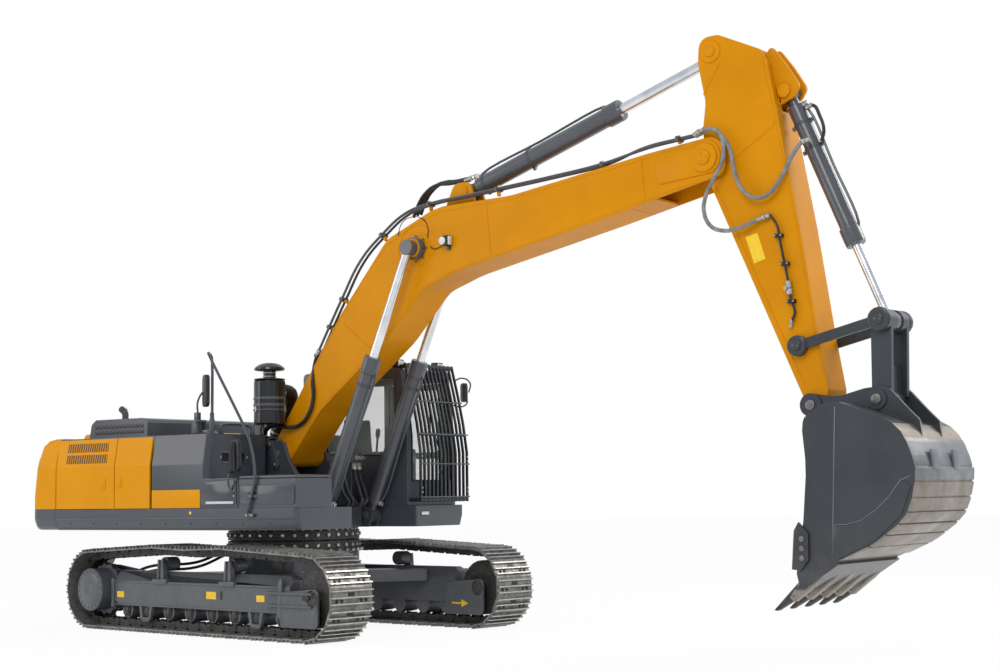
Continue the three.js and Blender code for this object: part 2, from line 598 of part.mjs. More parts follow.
function cabGuard() {
  const [y0, y1] = CAB.y;
  const front = (z) => GUARD.x
    - Math.max(0, (z - GUARD.knee) / (GUARD.high - GUARD.knee)) ** 1.3 * GUARD.lean;
  const ring = [GUARD.low, GUARD.knee, 2450, 2800, GUARD.high].map((z) => [front(z), z]);
  const strip = (d, y, w) => plate([
    ...ring.map(([x, z]) => [x, z]), ...ring.slice().reverse().map(([x, z]) => [x - d, z])], [y, y + w]);
  const parts = [];
  for (let i = 0; i <= GUARD.bars; i += 1) {
    const y = y0 + ((y1 - y0 - 24) * i) / GUARD.bars;
    parts.push(strip(GUARD.depth, y, 24));
  }
  for (const z of [GUARD.low + 10, 2300, GUARD.high - 45]) {
    const x = front(z);
    parts.push(block([x - GUARD.depth - 6, x - 4], [y0 + 5, y1 - 5], [z, z + 34]));
  }
  // brackets reach back to the cab's front
  for (const y of [y0 + 40, y1 - 80]) {
    parts.push(block([CAB.x[1] + GAP, GUARD.x - 10], [y, y + 40], [GUARD.low + 4, GUARD.low + 50]));
    parts.push(block([CAB.x[1] - CAB.lean - 160, front(CAB.top) - 10], [y, y + 40],
      [CAB.top + GAP, CAB.top + 45]));
  }
  return join(...parts);
}

function operatorChair() {
  const y = (CAB.y[0] + CAB.y[1]) / 2;
  const floor = DECK.high + 50 + 2 * GAP;
  return join(
    block([350, 700], [y - 180, y + 180], [floor, floor + 300]),
    block([250, 800], [y - 250, y + 250], [floor + 290, floor + 430]),
    plate([[180, floor + 400], [300, floor + 400], [220, floor + 1050, 40], [120, floor + 1050, 40]],
      [y - 240, y + 240]),
    block([330, 760], [y - 370, y - 270], [floor + 400, floor + 560]),
    block([330, 760], [y - 280, y + 280], [floor + 330, floor + 410]),
    block([330, 760], [y + 270, y + 370], [floor + 400, floor + 560]));
}

// ---------------------------------------------------------------- boom, arm and bucket
const boomCorners = () => [
  [FOOT.x + 60, FOOT.z - 160, 140], [650, 2590, 400], [1720, 3400, 700], [2250, 3950, 300],
  [2740, 4110, 900], [4700, 4500, 400], [5960, 4770, 60],
  [ELBOW.x + 240, 4800, 200], [ELBOW.x + 240, 5240, 230],
  [5300, 5140, 900], [3500, 4890, 900], [2450, 4870, 500], [1720, 4570, 300],
  [1000, 3740, 900], [480, 3020, 500], [FOOT.x - 120, FOOT.z + 150, 160], [FOOT.x - 150, FOOT.z - 110, 120]];

function boom() {
  const outer = plate(boomCorners(), [-BOOM.half, BOOM.half]);
  const room = plate(inset(boomCorners(), BOOM.plate),
    [-BOOM.half + BOOM.plate, BOOM.half - BOOM.plate], 0.9);
  const mouth = block([ELBOW.x - BOOM.fork, ELBOW.x + 900],
    [-BOOM.half + BOOM.plate, BOOM.half - BOOM.plate], [4000, 6000]);
  const footBoss = cross(FOOT, [-FOOT.half, FOOT.half], 150, 18);
  const ribBoss = [-1, 1].map((side) => cross(RIB,
    both(side, [BOOM.half - 20, LIFT.side - LIFT.width / 2 - SLIDE]), 110, 18));
  const lug = [CROWD.width / 2 + SLIDE, CROWD.width / 2 + SLIDE + 40];
  const saddle = [-1, 1].map((side) => plate([
    [SADDLE.x - 330, 4700], [SADDLE.x + 190, 4840], [SADDLE.x + 115, SADDLE.z + 110, 110],
    [SADDLE.x - 120, SADDLE.z + 110, 110]], both(side, lug)));
  const bores = [
    cross(FOOT, [-900, 900], FOOT.pin + FIT), cross(ELBOW, [-900, 900], ELBOW.pin + GAP),
    cross(SADDLE, [-900, 900], CROWD.basePin + GAP)];
  return cut(join(cut(outer, room, mouth), footBoss, ...ribBoss, ...saddle), ...bores);
}

const armCorners = () => [
  [6980, 2480, 40], [TIP.x - 110, TIP.z - 110, 100], [TIP.x + 110, TIP.z - 100, 100], [7245, 2560, 90],
  [7150, 3100, 300], [6985, 4200, 900], [6790, 5280, 400], [6675, 5920, 60], [6600, 6060, 60],
  [CROWN.x + 90, CROWN.z + 168, 120], [CROWN.x - 130, CROWN.z + 165, 130],
  [CROWN.x - 150, CROWN.z - 100, 150], [5960, 5600, 200], [5920, 5300, 400], [5985, 4750, 300],
  [6240, 4170, 400]];

function arm() {
  const free = [-ARM.half + ARM.plate, ARM.half - ARM.plate];
  const outer = plate(armCorners(), [-ARM.half, ARM.half]);
  const room = plate(inset(armCorners(), ARM.plate), free, 0.9);
  const mouth = plate([[5600, 5650], [6500, 5650], [6620, 6500], [5600, 6500]], free);
  const heel = block([6000, 8000], [-ARM.half, ARM.half], [2000, LINK.z - 420]);
  const fork = BOOM.half - BOOM.plate - SLIDE;
  const elbowBoss = cross(ELBOW, [-fork, fork], 160, 18);
  const linkBoss = cross(LINK, [-ARM.half - 8, ARM.half + 8], 95, 16);
  const tipBoss = cross(TIP, [-ARM.half - 8, ARM.half + 8], 110, 16);
  // two lugs on the front face hold the bucket cylinder, which reaches in between them
  const lugs = [-1, 1].map((side) => join(
    plate([[6650, 5470], [6740, 5470, 40], [PERCH.x + 100, PERCH.z - 70, 60],
      [PERCH.x + 165, PERCH.z + 40, 60], [PERCH.x + 25, PERCH.z + 270, 90], [6670, 6110, 40], [6600, 6000]],
    both(side, [CURL.width / 2 + SLIDE, CURL.width / 2 + SLIDE + 45])),
    cross(PERCH, both(side, [CURL.width / 2 + SLIDE, CURL.width / 2 + SLIDE + 60]), 80, 16)));
  const slot = block([6600, 7100], [-CURL.width / 2 - SLIDE, CURL.width / 2 + SLIDE],
    [PERCH.z - 190, PERCH.z + 150]);
  const bores = [
    cross(ELBOW, [-900, 900], ELBOW.pin + FIT), cross(LINK, [-900, 900], LINK.pin + FIT),
    cross(TIP, [-900, 900], TIP.pin + FIT), cross(PERCH, [-900, 900], CURL.basePin + GAP)];
  return cut(join(cut(outer, cut(room, heel), mouth), elbowBoss, linkBoss, tipBoss,
    ...lugs), slot, ...bores);
}

const bucketCorners = () => [
  [7215, 2270, 60], [7190, 2180, 200], [7225, 1800, 900], [7180, 1290, 300], [7095, 790],
  [7120, 680], [7500, 900, 200], [7900, 1080, 500], [8240, 1330, 400], [8340, 1760, 400],
  [8180, 2180, 400], [7560, 2410, 100], [7400, 2395, 60]];

function bucket() {
  const { half, plate: side, shell } = BUCKET;
  const outer = plate(bucketCorners(), [-half, half]);
  // the room runs out through the mouth, past the lip
  const back = inset(bucketCorners(), shell).slice(6, 12);
  const room = plate([[6800, 600], [7080, 600], ...back, [6800, 2360]], [-half + side, half - side]);
  const ears = [-1, 1].map((sign) => plate([
    [TIP.x - 125, TIP.z - 60, 100], [TIP.x - 100, TIP.z + 130, 120], [7360, 2480, 200],
    [HEEL.x - 130, HEEL.z + 110, 100], [HEEL.x + 100, HEEL.z + 130, 120], [8080, 2340, 100],
    [8190, 2230, 60], [8230, 1970], [8100, 2060], [7560, 2380], [7300, 2380],
    [7230, 2200], [TIP.x + 60, TIP.z - 150, 60]], both(sign, [ARM.half + 8 + SLIDE, ARM.half + 8 + SLIDE + 40])));
  const lip = plate([[7120, 690], [7060, 640], [7160, 640], [7530, 880], [7500, 905]], [-half, half]);
  const teeth = [];
  for (let i = 0; i < BUCKET.teeth; i += 1) {
    const y = -half + 75 + (i * (2 * half - 150)) / (BUCKET.teeth - 1);
    teeth.push(plate([[6835, 440], [6870, 440], [7080, 560], [7230, 690], [7200, 740], [7090, 700]],
      [y - 45, y + 45]));
  }
  const body = join(cut(outer, room), ...ears, lip, ...teeth);
  return cut(body, cross(TIP, [-900, 900], TIP.pin + GAP), cross(HEEL, [-900, 900], HEEL.pin + FIT));
}

// ---------------------------------------------------------------- cylinders and links
// a barrel from its base eye towards the rod's pin, and the rod that slides in it
function ram(base, pin, size) {
  const from = new THREE.Vector3(base.x, size.side, base.z);
  const to = new THREE.Vector3(pin.x, size.side, pin.z);
  const along = to.clone().sub(from).normalize();
  const at = (distance) => from.clone().addScaledVector(along, distance).toArray();
  const reach = from.distanceTo(to);
  const wide = [size.side - size.width / 2, size.side + size.width / 2];
  const barrel = cut(
    join(
      bar(at(0), at(size.eye + 100), size.width / 2 - 2, size.width / 2 - 2, 16),
      bar(at(size.eye + 70), at(size.body), size.barrel, size.barrel, 18),
      bar(at(size.body - 190), at(size.body), size.barrel + 12, size.barrel + 12, 18),
      cross(base, wide, size.eye, 16)),
    bar(at(size.eye + 120), at(size.body + 9), size.rod + SLIDE, size.rod + SLIDE, 16),
    cross(base, [-900, 900], size.basePin + FIT));
  const rod = join(
    bar(at(size.body - size.reserve), at(reach - size.eye * 0.6), size.rod, size.rod, 16),
    cross(pin, wide, size.eye, 16));
  return { barrel, rod };
}

function sideLink(side) {
  const y = both(side, [ARM.half + 8 + SLIDE, ARM.half + 8 + 60]);
  const across = new THREE.Vector2(LINK.z - KNEE.z, KNEE.x - LINK.x).setLength(50);
  const web = plate([
    [LINK.x - across.x, LINK.z - across.y], [KNEE.x - across.x, KNEE.z - across.y],
    [KNEE.x + across.x, KNEE.z + across.y], [LINK.x + across.x, LINK.z + across.y]],
  [y[0] + 10, y[1] - 10]);
  return cut(
    join(web, cross(LINK, y, 105, 16), cross(KNEE, y, 120, 16)),
    cross(LINK, [-900, 900], LINK.pin + GAP));
}

function hLink() {
  const inner = CURL.width / 2 + SLIDE;
  const outer = ARM.half + 8 + GAP - SLIDE;
  const legs = [-1, 1].map((side) => join(
    plate([[HEEL.x - 70, HEEL.z], [HEEL.x + 130, HEEL.z + 30], [KNEE.x + 100, KNEE.z],
      [KNEE.x - 110, KNEE.z]], both(side, [outer - 60, outer])),
    cross(KNEE, both(side, [inner, outer]), 115, 16)));
  const web = block([HEEL.x - 60, HEEL.x + 60], [-outer + 10, outer - 10], [HEEL.z, KNEE.z - 420]);
  return cut(join(...legs, web, cross(HEEL, [-outer, outer], 95, 16)), cross(HEEL, [-900, 900], HEEL.pin + GAP));
}

add('revolving_deck', deck(), grey);
add('counterweight', ballast(), yellow);
add('engine_block', block(ENGINE.x, [-ENGINE.half, ENGINE.half], [DECK.floor + GAP, ENGINE.high]), grey);
add('housing', housing(), grey);
add('engine_hood', hood(), grey);
add('front_cover', frontCover(), grey);
add('fuel_tank', fuelTank(), grey);
add('fuel_cap', fuelCap(), black);
add('tool_box', toolBox(), grey);
add('tool_box_lid', toolBoxLid(), grey);
add('air_cleaner', airCleaner(), black);
add('exhaust_pipe', exhaust(), grey);
add('rear_door_right', sideDoor(-1, HOUSE.right.slice(0, 2), [60, 200]), yellow);
add('front_door_right', sideDoor(-1, HOUSE.right.slice(1), []), yellow);
add('rear_door_left', sideDoor(1, HOUSE.left.slice(0, 2), [60, 200]), yellow);
add('front_door_left', sideDoor(1, HOUSE.left.slice(1), []), yellow);
add('cab_shell', cabShell(), grey);
add('cab_roof_hatch', cabRoof(), grey);
add('cab_door', cabDoor(), grey);
add('cab_guard', cabGuard(), black);
add('operator_chair', operatorChair(), black);
add('boom', boom(), yellow);
add('arm', arm(), yellow);
add('bucket', bucket(), grey);
for (const [side, name] of [[-1, 'right'], [1, 'left']]) {
  const lift = ram(HIP, RIB, { ...LIFT, side: side * LIFT.side });
  add(`boom_cylinder_barrel_${name}`, lift.barrel, grey);
  add(`boom_cylinder_rod_${name}`, lift.rod, chrome);
  const pinEnds = both(side, [LIFT.side - LIFT.width / 2 - RUN - 40, LIFT.side + LIFT.width / 2 + RUN + 40]);
  add(`boom_cylinder_pin_${name}`, cross(HIP, pinEnds, LIFT.basePin), steel);
  add(`side_link_${name}`, sideLink(side), grey);
}
const crowd = ram(SADDLE, CROWN, CROWD);
add('arm_cylinder_barrel', crowd.barrel, grey);
add('arm_cylinder_rod', crowd.rod, chrome);
const curl = ram(PERCH, KNEE, CURL);
add('bucket_cylinder_barrel', curl.barrel, grey);
add('bucket_cylinder_rod', curl.rod, chrome);
add('h_link', hLink(), grey);
add('boom_foot_pin', cross(FOOT, [-FOOT.half - RUN - 60, FOOT.half + RUN + 60], FOOT.pin), steel);
add('boom_arm_pin', cross(ELBOW, [-BOOM.half - 35, BOOM.half + 35], ELBOW.pin), steel);
const saddleOut = CROWD.width / 2 + SLIDE + 40;
add('arm_cylinder_pin', cross(SADDLE, [-saddleOut - 10, saddleOut + 10], CROWD.basePin), steel);
const lugOut = CURL.width / 2 + SLIDE + 60;
add('bucket_cylinder_pin', cross(PERCH, [-lugOut - 10, lugOut + 10], CURL.basePin), steel);
add('side_link_pin', cross(LINK, [-ARM.half - 70, ARM.half + 70], LINK.pin), steel);
const earOut = ARM.half + 8 + SLIDE + 40;
add('arm_bucket_pin', cross(TIP, [-earOut - 10, earOut + 10], TIP.pin), steel);
add('h_link_pin', cross(HEEL, [-earOut - 10, earOut + 10], HEEL.pin), steel);

// the origin is the middle of the whole box, on the ground
const middle = new THREE.Box3().setFromObject(group).getCenter(new THREE.Vector3());
for (const piece of group.children) piece.geometry.translate(-middle.x, -middle.y, 0);

export default group;
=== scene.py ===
"""A crawler excavator on its tracks: finishes, fittings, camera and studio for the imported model."""

import contextlib
import json
import math

import bmesh
import bpy
from mathutils import Matrix, Vector
from mathutils.bvhtree import BVHTree

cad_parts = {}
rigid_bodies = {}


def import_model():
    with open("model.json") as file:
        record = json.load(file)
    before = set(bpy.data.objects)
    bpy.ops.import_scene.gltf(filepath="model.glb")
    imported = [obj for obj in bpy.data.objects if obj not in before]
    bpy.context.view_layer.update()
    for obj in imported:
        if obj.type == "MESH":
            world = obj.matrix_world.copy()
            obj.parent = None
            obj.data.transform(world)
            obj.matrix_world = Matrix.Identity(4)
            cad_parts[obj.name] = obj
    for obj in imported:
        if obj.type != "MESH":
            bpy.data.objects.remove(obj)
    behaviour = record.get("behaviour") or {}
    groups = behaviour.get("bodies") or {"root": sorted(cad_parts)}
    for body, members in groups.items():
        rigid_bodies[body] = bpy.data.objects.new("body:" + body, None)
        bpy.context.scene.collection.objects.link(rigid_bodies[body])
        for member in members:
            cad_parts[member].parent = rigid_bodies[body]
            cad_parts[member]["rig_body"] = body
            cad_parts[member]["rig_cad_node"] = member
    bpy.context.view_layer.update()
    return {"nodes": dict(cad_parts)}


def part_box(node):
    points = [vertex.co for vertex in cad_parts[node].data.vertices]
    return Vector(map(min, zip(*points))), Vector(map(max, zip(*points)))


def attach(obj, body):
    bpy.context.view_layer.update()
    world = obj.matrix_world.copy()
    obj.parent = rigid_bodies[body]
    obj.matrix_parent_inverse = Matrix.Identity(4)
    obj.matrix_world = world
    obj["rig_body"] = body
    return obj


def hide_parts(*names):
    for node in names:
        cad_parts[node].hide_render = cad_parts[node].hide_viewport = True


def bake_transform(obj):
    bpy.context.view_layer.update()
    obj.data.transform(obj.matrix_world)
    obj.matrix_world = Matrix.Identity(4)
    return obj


bl_info = {"name": "Crawler Excavator", "version": (1, 0, 0), "blender": (4, 5, 0),
    "location": "3D View > Sidebar > Excavator",
    "description": "Dresses a crawler excavator with its finishes and fittings", "category": "Object",}

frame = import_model()

# the swing axis stands at X 0, Y 0 of the machine's own frame, in which every place below is given
ring_low, ring_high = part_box("slew_ring")
AXIS = Vector(((ring_low.x + ring_high.x) / 2, (ring_low.y + ring_high.y) / 2, 0))
TURN = Matrix.Rotation(math.radians(-7), 4, "Z")  # the tracks stand turned under the house
MACHINE = Matrix.Translation(AXIS)
TRACKS = MACHINE @ TURN


# pins of the boom, arm and bucket in the side view: X and Z
LIFT_EYE = (2.18, 4.41)
LIFT_BASE = (0.85, 1.355)
CROWD_BASE = (2.72, 5.04)
CROWD_EYE = (6.03, 6.12)
CURL_BASE = (6.815, 5.61)
KNEE = (7.82, 3.205)
ELBOW = (5.96, 5.01)
LINK_PIN = (6.95, 3.0)
UP, TO_RIGHT = (0, 0, 1), (0, -1, 0)
SIDES = ((-1, "right"), (1, "left"))
FLANK = 1.47  # the house's sides from its middle
CREASE, HOUSE_TOP, SKIRT = 1.98, 2.34, 1.34  # heights where the flanks start and stop leaning in, and tuck under
LEAN, TUCK, SKIRT_DROP, INSIDE = 0.06, 0.05, 0.13, 1.38  # how far, over what drop, and from where outwards


def at(x, y, z):
    return MACHINE @ Vector((x, y, z))


# ---------------------------------------------------------------- materials


def linear(code):
    """An sRGB hex colour as a linear one."""
    parts = [int(code[i : i + 2], 16) / 255 for i in (1, 3, 5)]
    return (*[c / 12.92 if c <= 0.04045 else ((c + 0.055) / 1.055) ** 2.4 for c in parts], 1)


def put(tree, kind, links=(), **settings):
    """Adds a node, gives its settings and sockets their values, and links its inputs."""
    made = tree.nodes.new(kind)
    for key, value in settings.items():
        if hasattr(made, key):
            setattr(made, key, value)
        else:
            made.inputs[key.replace("_", " ")].default_value = value
    for socket, source in links:
        tree.links.new(source, made.inputs[socket])
    return made


def blank(name):
    material = bpy.data.materials.new(name)
    material.use_nodes = True
    tree = material.node_tree
    tree.nodes.clear()
    return material, tree


def close(material, tree, shader):
    out = put(tree, "ShaderNodeOutputMaterial")
    tree.links.new(shader, out.inputs["Surface"])
    return material


def started(name):
    """A new material, its tree, and the place in the machine's own frame that its patterns follow."""
    material, tree = blank(name)
    return material, tree, put(tree, "ShaderNodeTexCoord").outputs["Object"]


def noise(tree, place, scale, detail, roughness=0.5):
    return put(tree, "ShaderNodeTexNoise", [("Vector", place)], Scale=scale, Detail=detail,
        Roughness=roughness).outputs["Fac"]


def remap(tree, source, from_low, from_high, to_low, to_high, **settings):
    """A value stretched from one range to another."""
    return put(tree, "ShaderNodeMapRange", [("Value", source)], From_Min=from_low, From_Max=from_high,
        To_Min=to_low, To_Max=to_high, **settings).outputs["Result"]


def bump(tree, height, strength, distance):
    return put(tree, "ShaderNodeBump", [("Height", height)], Strength=strength, Distance=distance).outputs["Normal"]


def combine(tree, operation, first, second):
    return put(tree, "ShaderNodeMath", [(0, first), (1, second)], operation=operation).outputs[0]


def dusted(tree, tone, dust, amount):
    """A tone with dust laid over it."""
    mixed = put(tree, "ShaderNodeMix", [("Factor", amount)], data_type="RGBA")
    tree.links.new(tone, mixed.inputs["A"])
    mixed.inputs["B"].default_value = linear(dust)
    return mixed.outputs["Result"]


def ramp(tree, source, low, high, from_low=0.4, from_high=0.6):
    """A colour that goes from low to high as the source does."""
    made = put(tree, "ShaderNodeValToRGB", [("Fac", source)])
    stops = made.color_ramp.elements
    stops[0].position, stops[0].color = from_low, linear(low)
    stops[1].position, stops[1].color = from_high, linear(high)
    return made.outputs["Color"]


def enamel(name, colour, shade, dust, dust_low=0.0, dust_high=0.6, gloss=0.32, coat=0.5, peel=0.6, dusty=0.5,
        metallic=0.0, specular=0.3):
    """Sprayed enamel on welded plate: a soft drift of tone over half a metre, orange peel of about
    15 mm drawn broad enough to show, fine scratches in the gloss, and dust that thins upwards."""
    material, tree, place = started(name)
    drift = noise(tree, place, 1.6, 4, 0.55)
    tone = ramp(tree, drift, shade, colour, 0.35, 0.62)
    # dust settles low down and in soft patches of a hand's width
    height = put(tree, "ShaderNodeSeparateXYZ", [("Vector", place)])
    fall = remap(tree, height.outputs["Z"], dust_low, dust_high, 1.0, 0.0, interpolation_type="SMOOTHSTEP")
    patches = noise(tree, place, 9, 6, 0.65)
    spread = remap(tree, patches, 0.38, 0.72, 0.0, dusty)
    amount = combine(tree, "MULTIPLY", fall, spread)
    coloured = dusted(tree, tone, dust, amount)
    # scuffs about 5 mm across break up the gloss
    scuffs = noise(tree, place, 40, 3, 0.6)
    shine = remap(tree, scuffs, 0.3, 0.75, gloss - 0.03, gloss + 0.07)
    rough = combine(tree, "MAXIMUM", amount, shine)
    skin = noise(tree, place, 45, 1)
    relief = bump(tree, skin, 0.05 * peel, 0.004)
    shader = put(tree, "ShaderNodeBsdfPrincipled", [("Base Color", coloured), ("Roughness", rough),
        ("Normal", relief)], Metallic=metallic, IOR=1.5, Coat_Weight=coat, Coat_Roughness=0.12,
        Specular_IOR_Level=specular)
    return close(material, tree, shader.outputs[0])


def rolled(name, bright, dark, dust, gloss=0.5, metallic=0.85, grain=35, dusty=0.6, dent=0.3):
    """Hot-rolled or cast steel worn by work: patches of mill scale, bright rubbed steel and pale
    dried soil, with a pitted surface of a few millimetres."""
    material, tree, place = started(name)
    scale = noise(tree, place, grain, 8, 0.68)
    tone = ramp(tree, scale, dark, bright, 0.36, 0.66)
    soil = noise(tree, place, 5, 8, 0.7)
    spread = remap(tree, soil, 0.42, 0.66, 0.0, dusty)
    coloured = dusted(tree, tone, dust, spread)
    bare = remap(tree, spread, 0.0, 0.6, metallic, 0.05)
    rough = remap(tree, scale, 0.3, 0.7, gloss + 0.15, gloss - 0.1)
    relief = bump(tree, scale, dent, 0.004)
    shader = put(tree, "ShaderNodeBsdfPrincipled", [("Base Color", coloured), ("Roughness", rough),
        ("Metallic", bare), ("Normal", relief)])
    return close(material, tree, shader.outputs[0])


def ground_chrome(name):
    """Hard chrome on a ground rod: mirror bright, with a faint haze across its gloss and tone."""
    material, tree, place = started(name)
    haze = noise(tree, place, 4, 2)
    rough = remap(tree, haze, 0.3, 0.7, 0.16, 0.22)
    tone = ramp(tree, haze, "#C9CCD0", "#E9EBEE", 0.3, 0.7)
    shader = put(tree, "ShaderNodeBsdfPrincipled", [("Base Color", tone), ("Roughness", rough)], Metallic=1.0)
    return close(material, tree, shader.outputs[0])


def moulded(name, colour, shade, gloss, grain=220, relief_depth=0.15, coat=0.0):
    """Moulded rubber or plastic: an even dark body with a fine leathery grain of about 3 mm."""
    material, tree, place = started(name)
    cells = put(tree, "ShaderNodeTexVoronoi", [("Vector", place)], Scale=grain)
    drift = noise(tree, place, 14, 5)
    tone = ramp(tree, drift, shade, colour, 0.35, 0.65)
    rough = remap(tree, drift, 0.3, 0.7, gloss + 0.08, gloss - 0.08)
    relief = bump(tree, cells.outputs["Distance"], relief_depth, 0.001)
    shader = put(tree, "ShaderNodeBsdfPrincipled", [("Base Color", tone), ("Roughness", rough), ("Normal", relief)])
    shader.inputs["Coat Weight"].default_value = coat
    return close(material, tree, shader.outputs[0])


def woven(name, colour, shade):
    """Woven chair cloth: threads about 2.5 mm apart, over and under, with a soft sheen."""
    material, tree, place = started(name)
    warp = put(tree, "ShaderNodeTexWave", [("Vector", place)], Scale=200, bands_direction="X")
    weft = put(tree, "ShaderNodeTexWave", [("Vector", place)], Scale=200, bands_direction="Y")
    rise = put(tree, "ShaderNodeTexWave", [("Vector", place)], Scale=200, bands_direction="Z")
    cross = combine(tree, "MAXIMUM", warp.outputs["Fac"], weft.outputs["Fac"])
    cloth = combine(tree, "MULTIPLY", cross, rise.outputs["Fac"])
    tone = ramp(tree, cloth, shade, colour, 0.1, 0.7)
    relief = bump(tree, cloth, 0.4, 0.001)
    shader = put(tree, "ShaderNodeBsdfPrincipled", [("Base Color", tone), ("Normal", relief)], Roughness=0.85)
    shader.inputs["Sheen Weight"].default_value = 0.3
    return close(material, tree, shader.outputs[0])


def safety_glass(name, tint="#A9B6B4", clear=0.16):
    """Laminated safety glass, faintly green, with a trace of dust in its gloss."""
    material, tree, place = started(name)
    film = noise(tree, place, 7, 6)
    rough = remap(tree, film, 0.3, 0.7, 0.01, 0.08)
    tone = ramp(tree, film, tint, "#C4CECC", 0.4, 0.8)
    shader = put(tree, "ShaderNodeBsdfPrincipled", [("Base Color", tone), ("Roughness", rough)], IOR=1.5)
    shader.inputs["Alpha"].default_value = clear
    return close(material, tree, shader.outputs[0])


def printed_film(name, colour, shade):
    """Printed vinyl film: even and slightly waxy, with a faint ripple."""
    material, tree, place = started(name)
    drift = noise(tree, place, 25, 3)
    tone = ramp(tree, drift, shade, colour, 0.3, 0.6)
    relief = bump(tree, drift, 0.1, 0.002)
    shader = put(tree, "ShaderNodeBsdfPrincipled", [("Base Color", tone), ("Normal", relief)], Roughness=0.4)
    return close(material, tree, shader.outputs[0])


class Finish:
    """The finishes, once they are mixed."""


def mix_finishes(colours):
    Finish.yellow = enamel("boom_enamel_yellow", colours.boom, "#CB8400", "#D39A34", 0, 0.9, gloss=0.42, coat=0.04,
        specular=0.09)
    Finish.house = enamel("house_enamel_yellow", colours.house, "#D58E00", "#C9A25A", 1.2, 1.9, gloss=0.36,
        coat=0.05, dusty=0.08, specular=0.09)
    Finish.slate = enamel("slate_enamel", colours.slate, "#3E4248", "#7C776D", 0.2, 1.5, gloss=0.3, dusty=0.1,
        specular=0.35, peel=0.15)
    Finish.chassis = enamel("chassis_enamel", "#55585D", "#4C4F54", "#7D786D", 0.0, 1.5, gloss=0.38, coat=0.3,
        dusty=0.2)
    Finish.tank = enamel("tank_enamel_gloss", "#353A41", "#30353B", "#77736B", 0.8, 1.9, gloss=0.2, coat=0.6,
        peel=0.3, dusty=0.12)
    Finish.bucket = enamel("bucket_enamel", "#383B40", "#303338", "#6F6A62", 0.3, 1.4, gloss=0.4, coat=0.3,
        dusty=0.5)
    Finish.ram = enamel("cylinder_enamel", "#4D5056", "#45484D", "#6E6B66", 0, 0.5, gloss=0.3, coat=0.6)
    Finish.black = enamel("powder_coat_black", "#17181A", "#111214", "#4B4843", 0, 0.5, gloss=0.3, coat=0.5)
    Finish.guard = enamel("guard_enamel_black", "#232528", "#1B1D1F", "#5B5750", 0, 0.5, gloss=0.36, coat=0.35)
    Finish.scoured = rolled("scoured_plate", "#958E83", "#7A736A", "#857C70", gloss=0.4, metallic=0.55, grain=3,
        dusty=0.25, dent=0.03)
    # rubbed grey steel for worn plates and strips, also laid on the bucket's side weld beads as a painted highlight
    Finish.polished = rolled("rubbed_grey_plate_and_highlight", "#8A8D91", "#6F7276", "#78756F", gloss=0.38, metallic=0.55,
        grain=3, dusty=0.15, dent=0.03)
    Finish.shoe = rolled("dusty_shoe_steel", "#93928E", "#5F5F5C", "#827F79", gloss=0.4, metallic=0.6, grain=12,
        dusty=0.25, dent=0.08)
    Finish.edge = rolled("rubbed_grouser_edge", "#D2D2CF", "#A9A9A6", "#A5A29B", gloss=0.3, metallic=0.8, grain=14,
        dusty=0.1, dent=0.05)
    Finish.chain = rolled("forged_chain_steel", "#4A4947", "#2A2A29", "#57534C", gloss=0.5, metallic=0.5, grain=40,
        dusty=0.35)
    Finish.pin = rolled("turned_pin_steel", "#8F8F8C", "#5D5C5A", "#7D776C", gloss=0.35, metallic=0.9, grain=60,
        dusty=0.3, dent=0.15)
    Finish.cast = rolled("cast_iron", "#54575A", "#37393C", "#6A665F", gloss=0.6, metallic=0.5, grain=70, dusty=0.3)
    Finish.zinc = rolled("zinc_plated_fitting", "#C6C6C0", "#98978F", "#9C968A", gloss=0.35, metallic=0.9,
        grain=80, dusty=0.2)
    Finish.chrome = ground_chrome("hard_chrome")
    Finish.hose = moulded("hose_rubber", "#1C1D1F", "#141516", 0.45, grain=300)
    Finish.sleeve = moulded("hose_sleeve_grey", "#8C8E8E", "#6E7070", 0.55, grain=260, relief_depth=0.4)
    Finish.plastic = moulded("moulded_plastic_black", "#1B1C1E", "#131415", 0.4)
    Finish.cloth = woven("chair_weave", "#26282C", "#101113")
    Finish.glass = safety_glass("safety_glass")
    Finish.lens = safety_glass("lamp_lens", "#E8EAEA", 0.85)
    Finish.sticker = printed_film("vinyl_yellow", "#F2C81E", "#E9BE18")
    Finish.pale = printed_film("vinyl_pale", "#C8CACB", "#BFC1C2")


# ---------------------------------------------------------------- ways of shaping


def select_none():
    bpy.ops.object.select_all(action="DESELECT")


def select_every():
    bpy.ops.mesh.select_all(action="SELECT")


def settle():
    """Moves an object's place, turn and size into its mesh."""
    bpy.ops.object.transform_apply(location=True, rotation=True, scale=True)


@contextlib.contextmanager
def editing(piece):
    """Edit mode on one piece, with nothing in it selected."""
    select_none()
    piece.select_set(True)
    bpy.context.view_layer.objects.active = piece
    bpy.ops.object.mode_set(mode="EDIT")
    bpy.ops.mesh.select_all(action="DESELECT")
    yield bmesh.from_edit_mesh(piece.data)
    bpy.ops.object.mode_set(mode="OBJECT")


def pick(mesh, piece, test):
    """Selects the faces whose middle and normal pass a test."""
    bpy.ops.mesh.select_mode(type="FACE")
    for face in mesh.faces:
        face.select_set(bool(test(face.calc_center_median(), face.normal)))
    bmesh.update_edit_mesh(piece.data)


def paint(piece, finish):
    piece.data.materials.clear()
    piece.data.materials.append(finish)
    return piece


def rounded(piece, width, segments=2):
    """Rounds off every edge."""
    if width:
        with editing(piece):
            select_every()
            bpy.ops.mesh.bevel(offset=width, segments=segments, affect="EDGES", clamp_overlap=True)
    return piece


def block(low, high, finish, width=0.004, segments=2):
    low, high = Vector(low), Vector(high)
    select_none()
    bpy.ops.mesh.primitive_cube_add(size=1, location=(low + high) / 2, scale=high - low)
    settle()
    return paint(rounded(bpy.context.object, width, segments), finish)


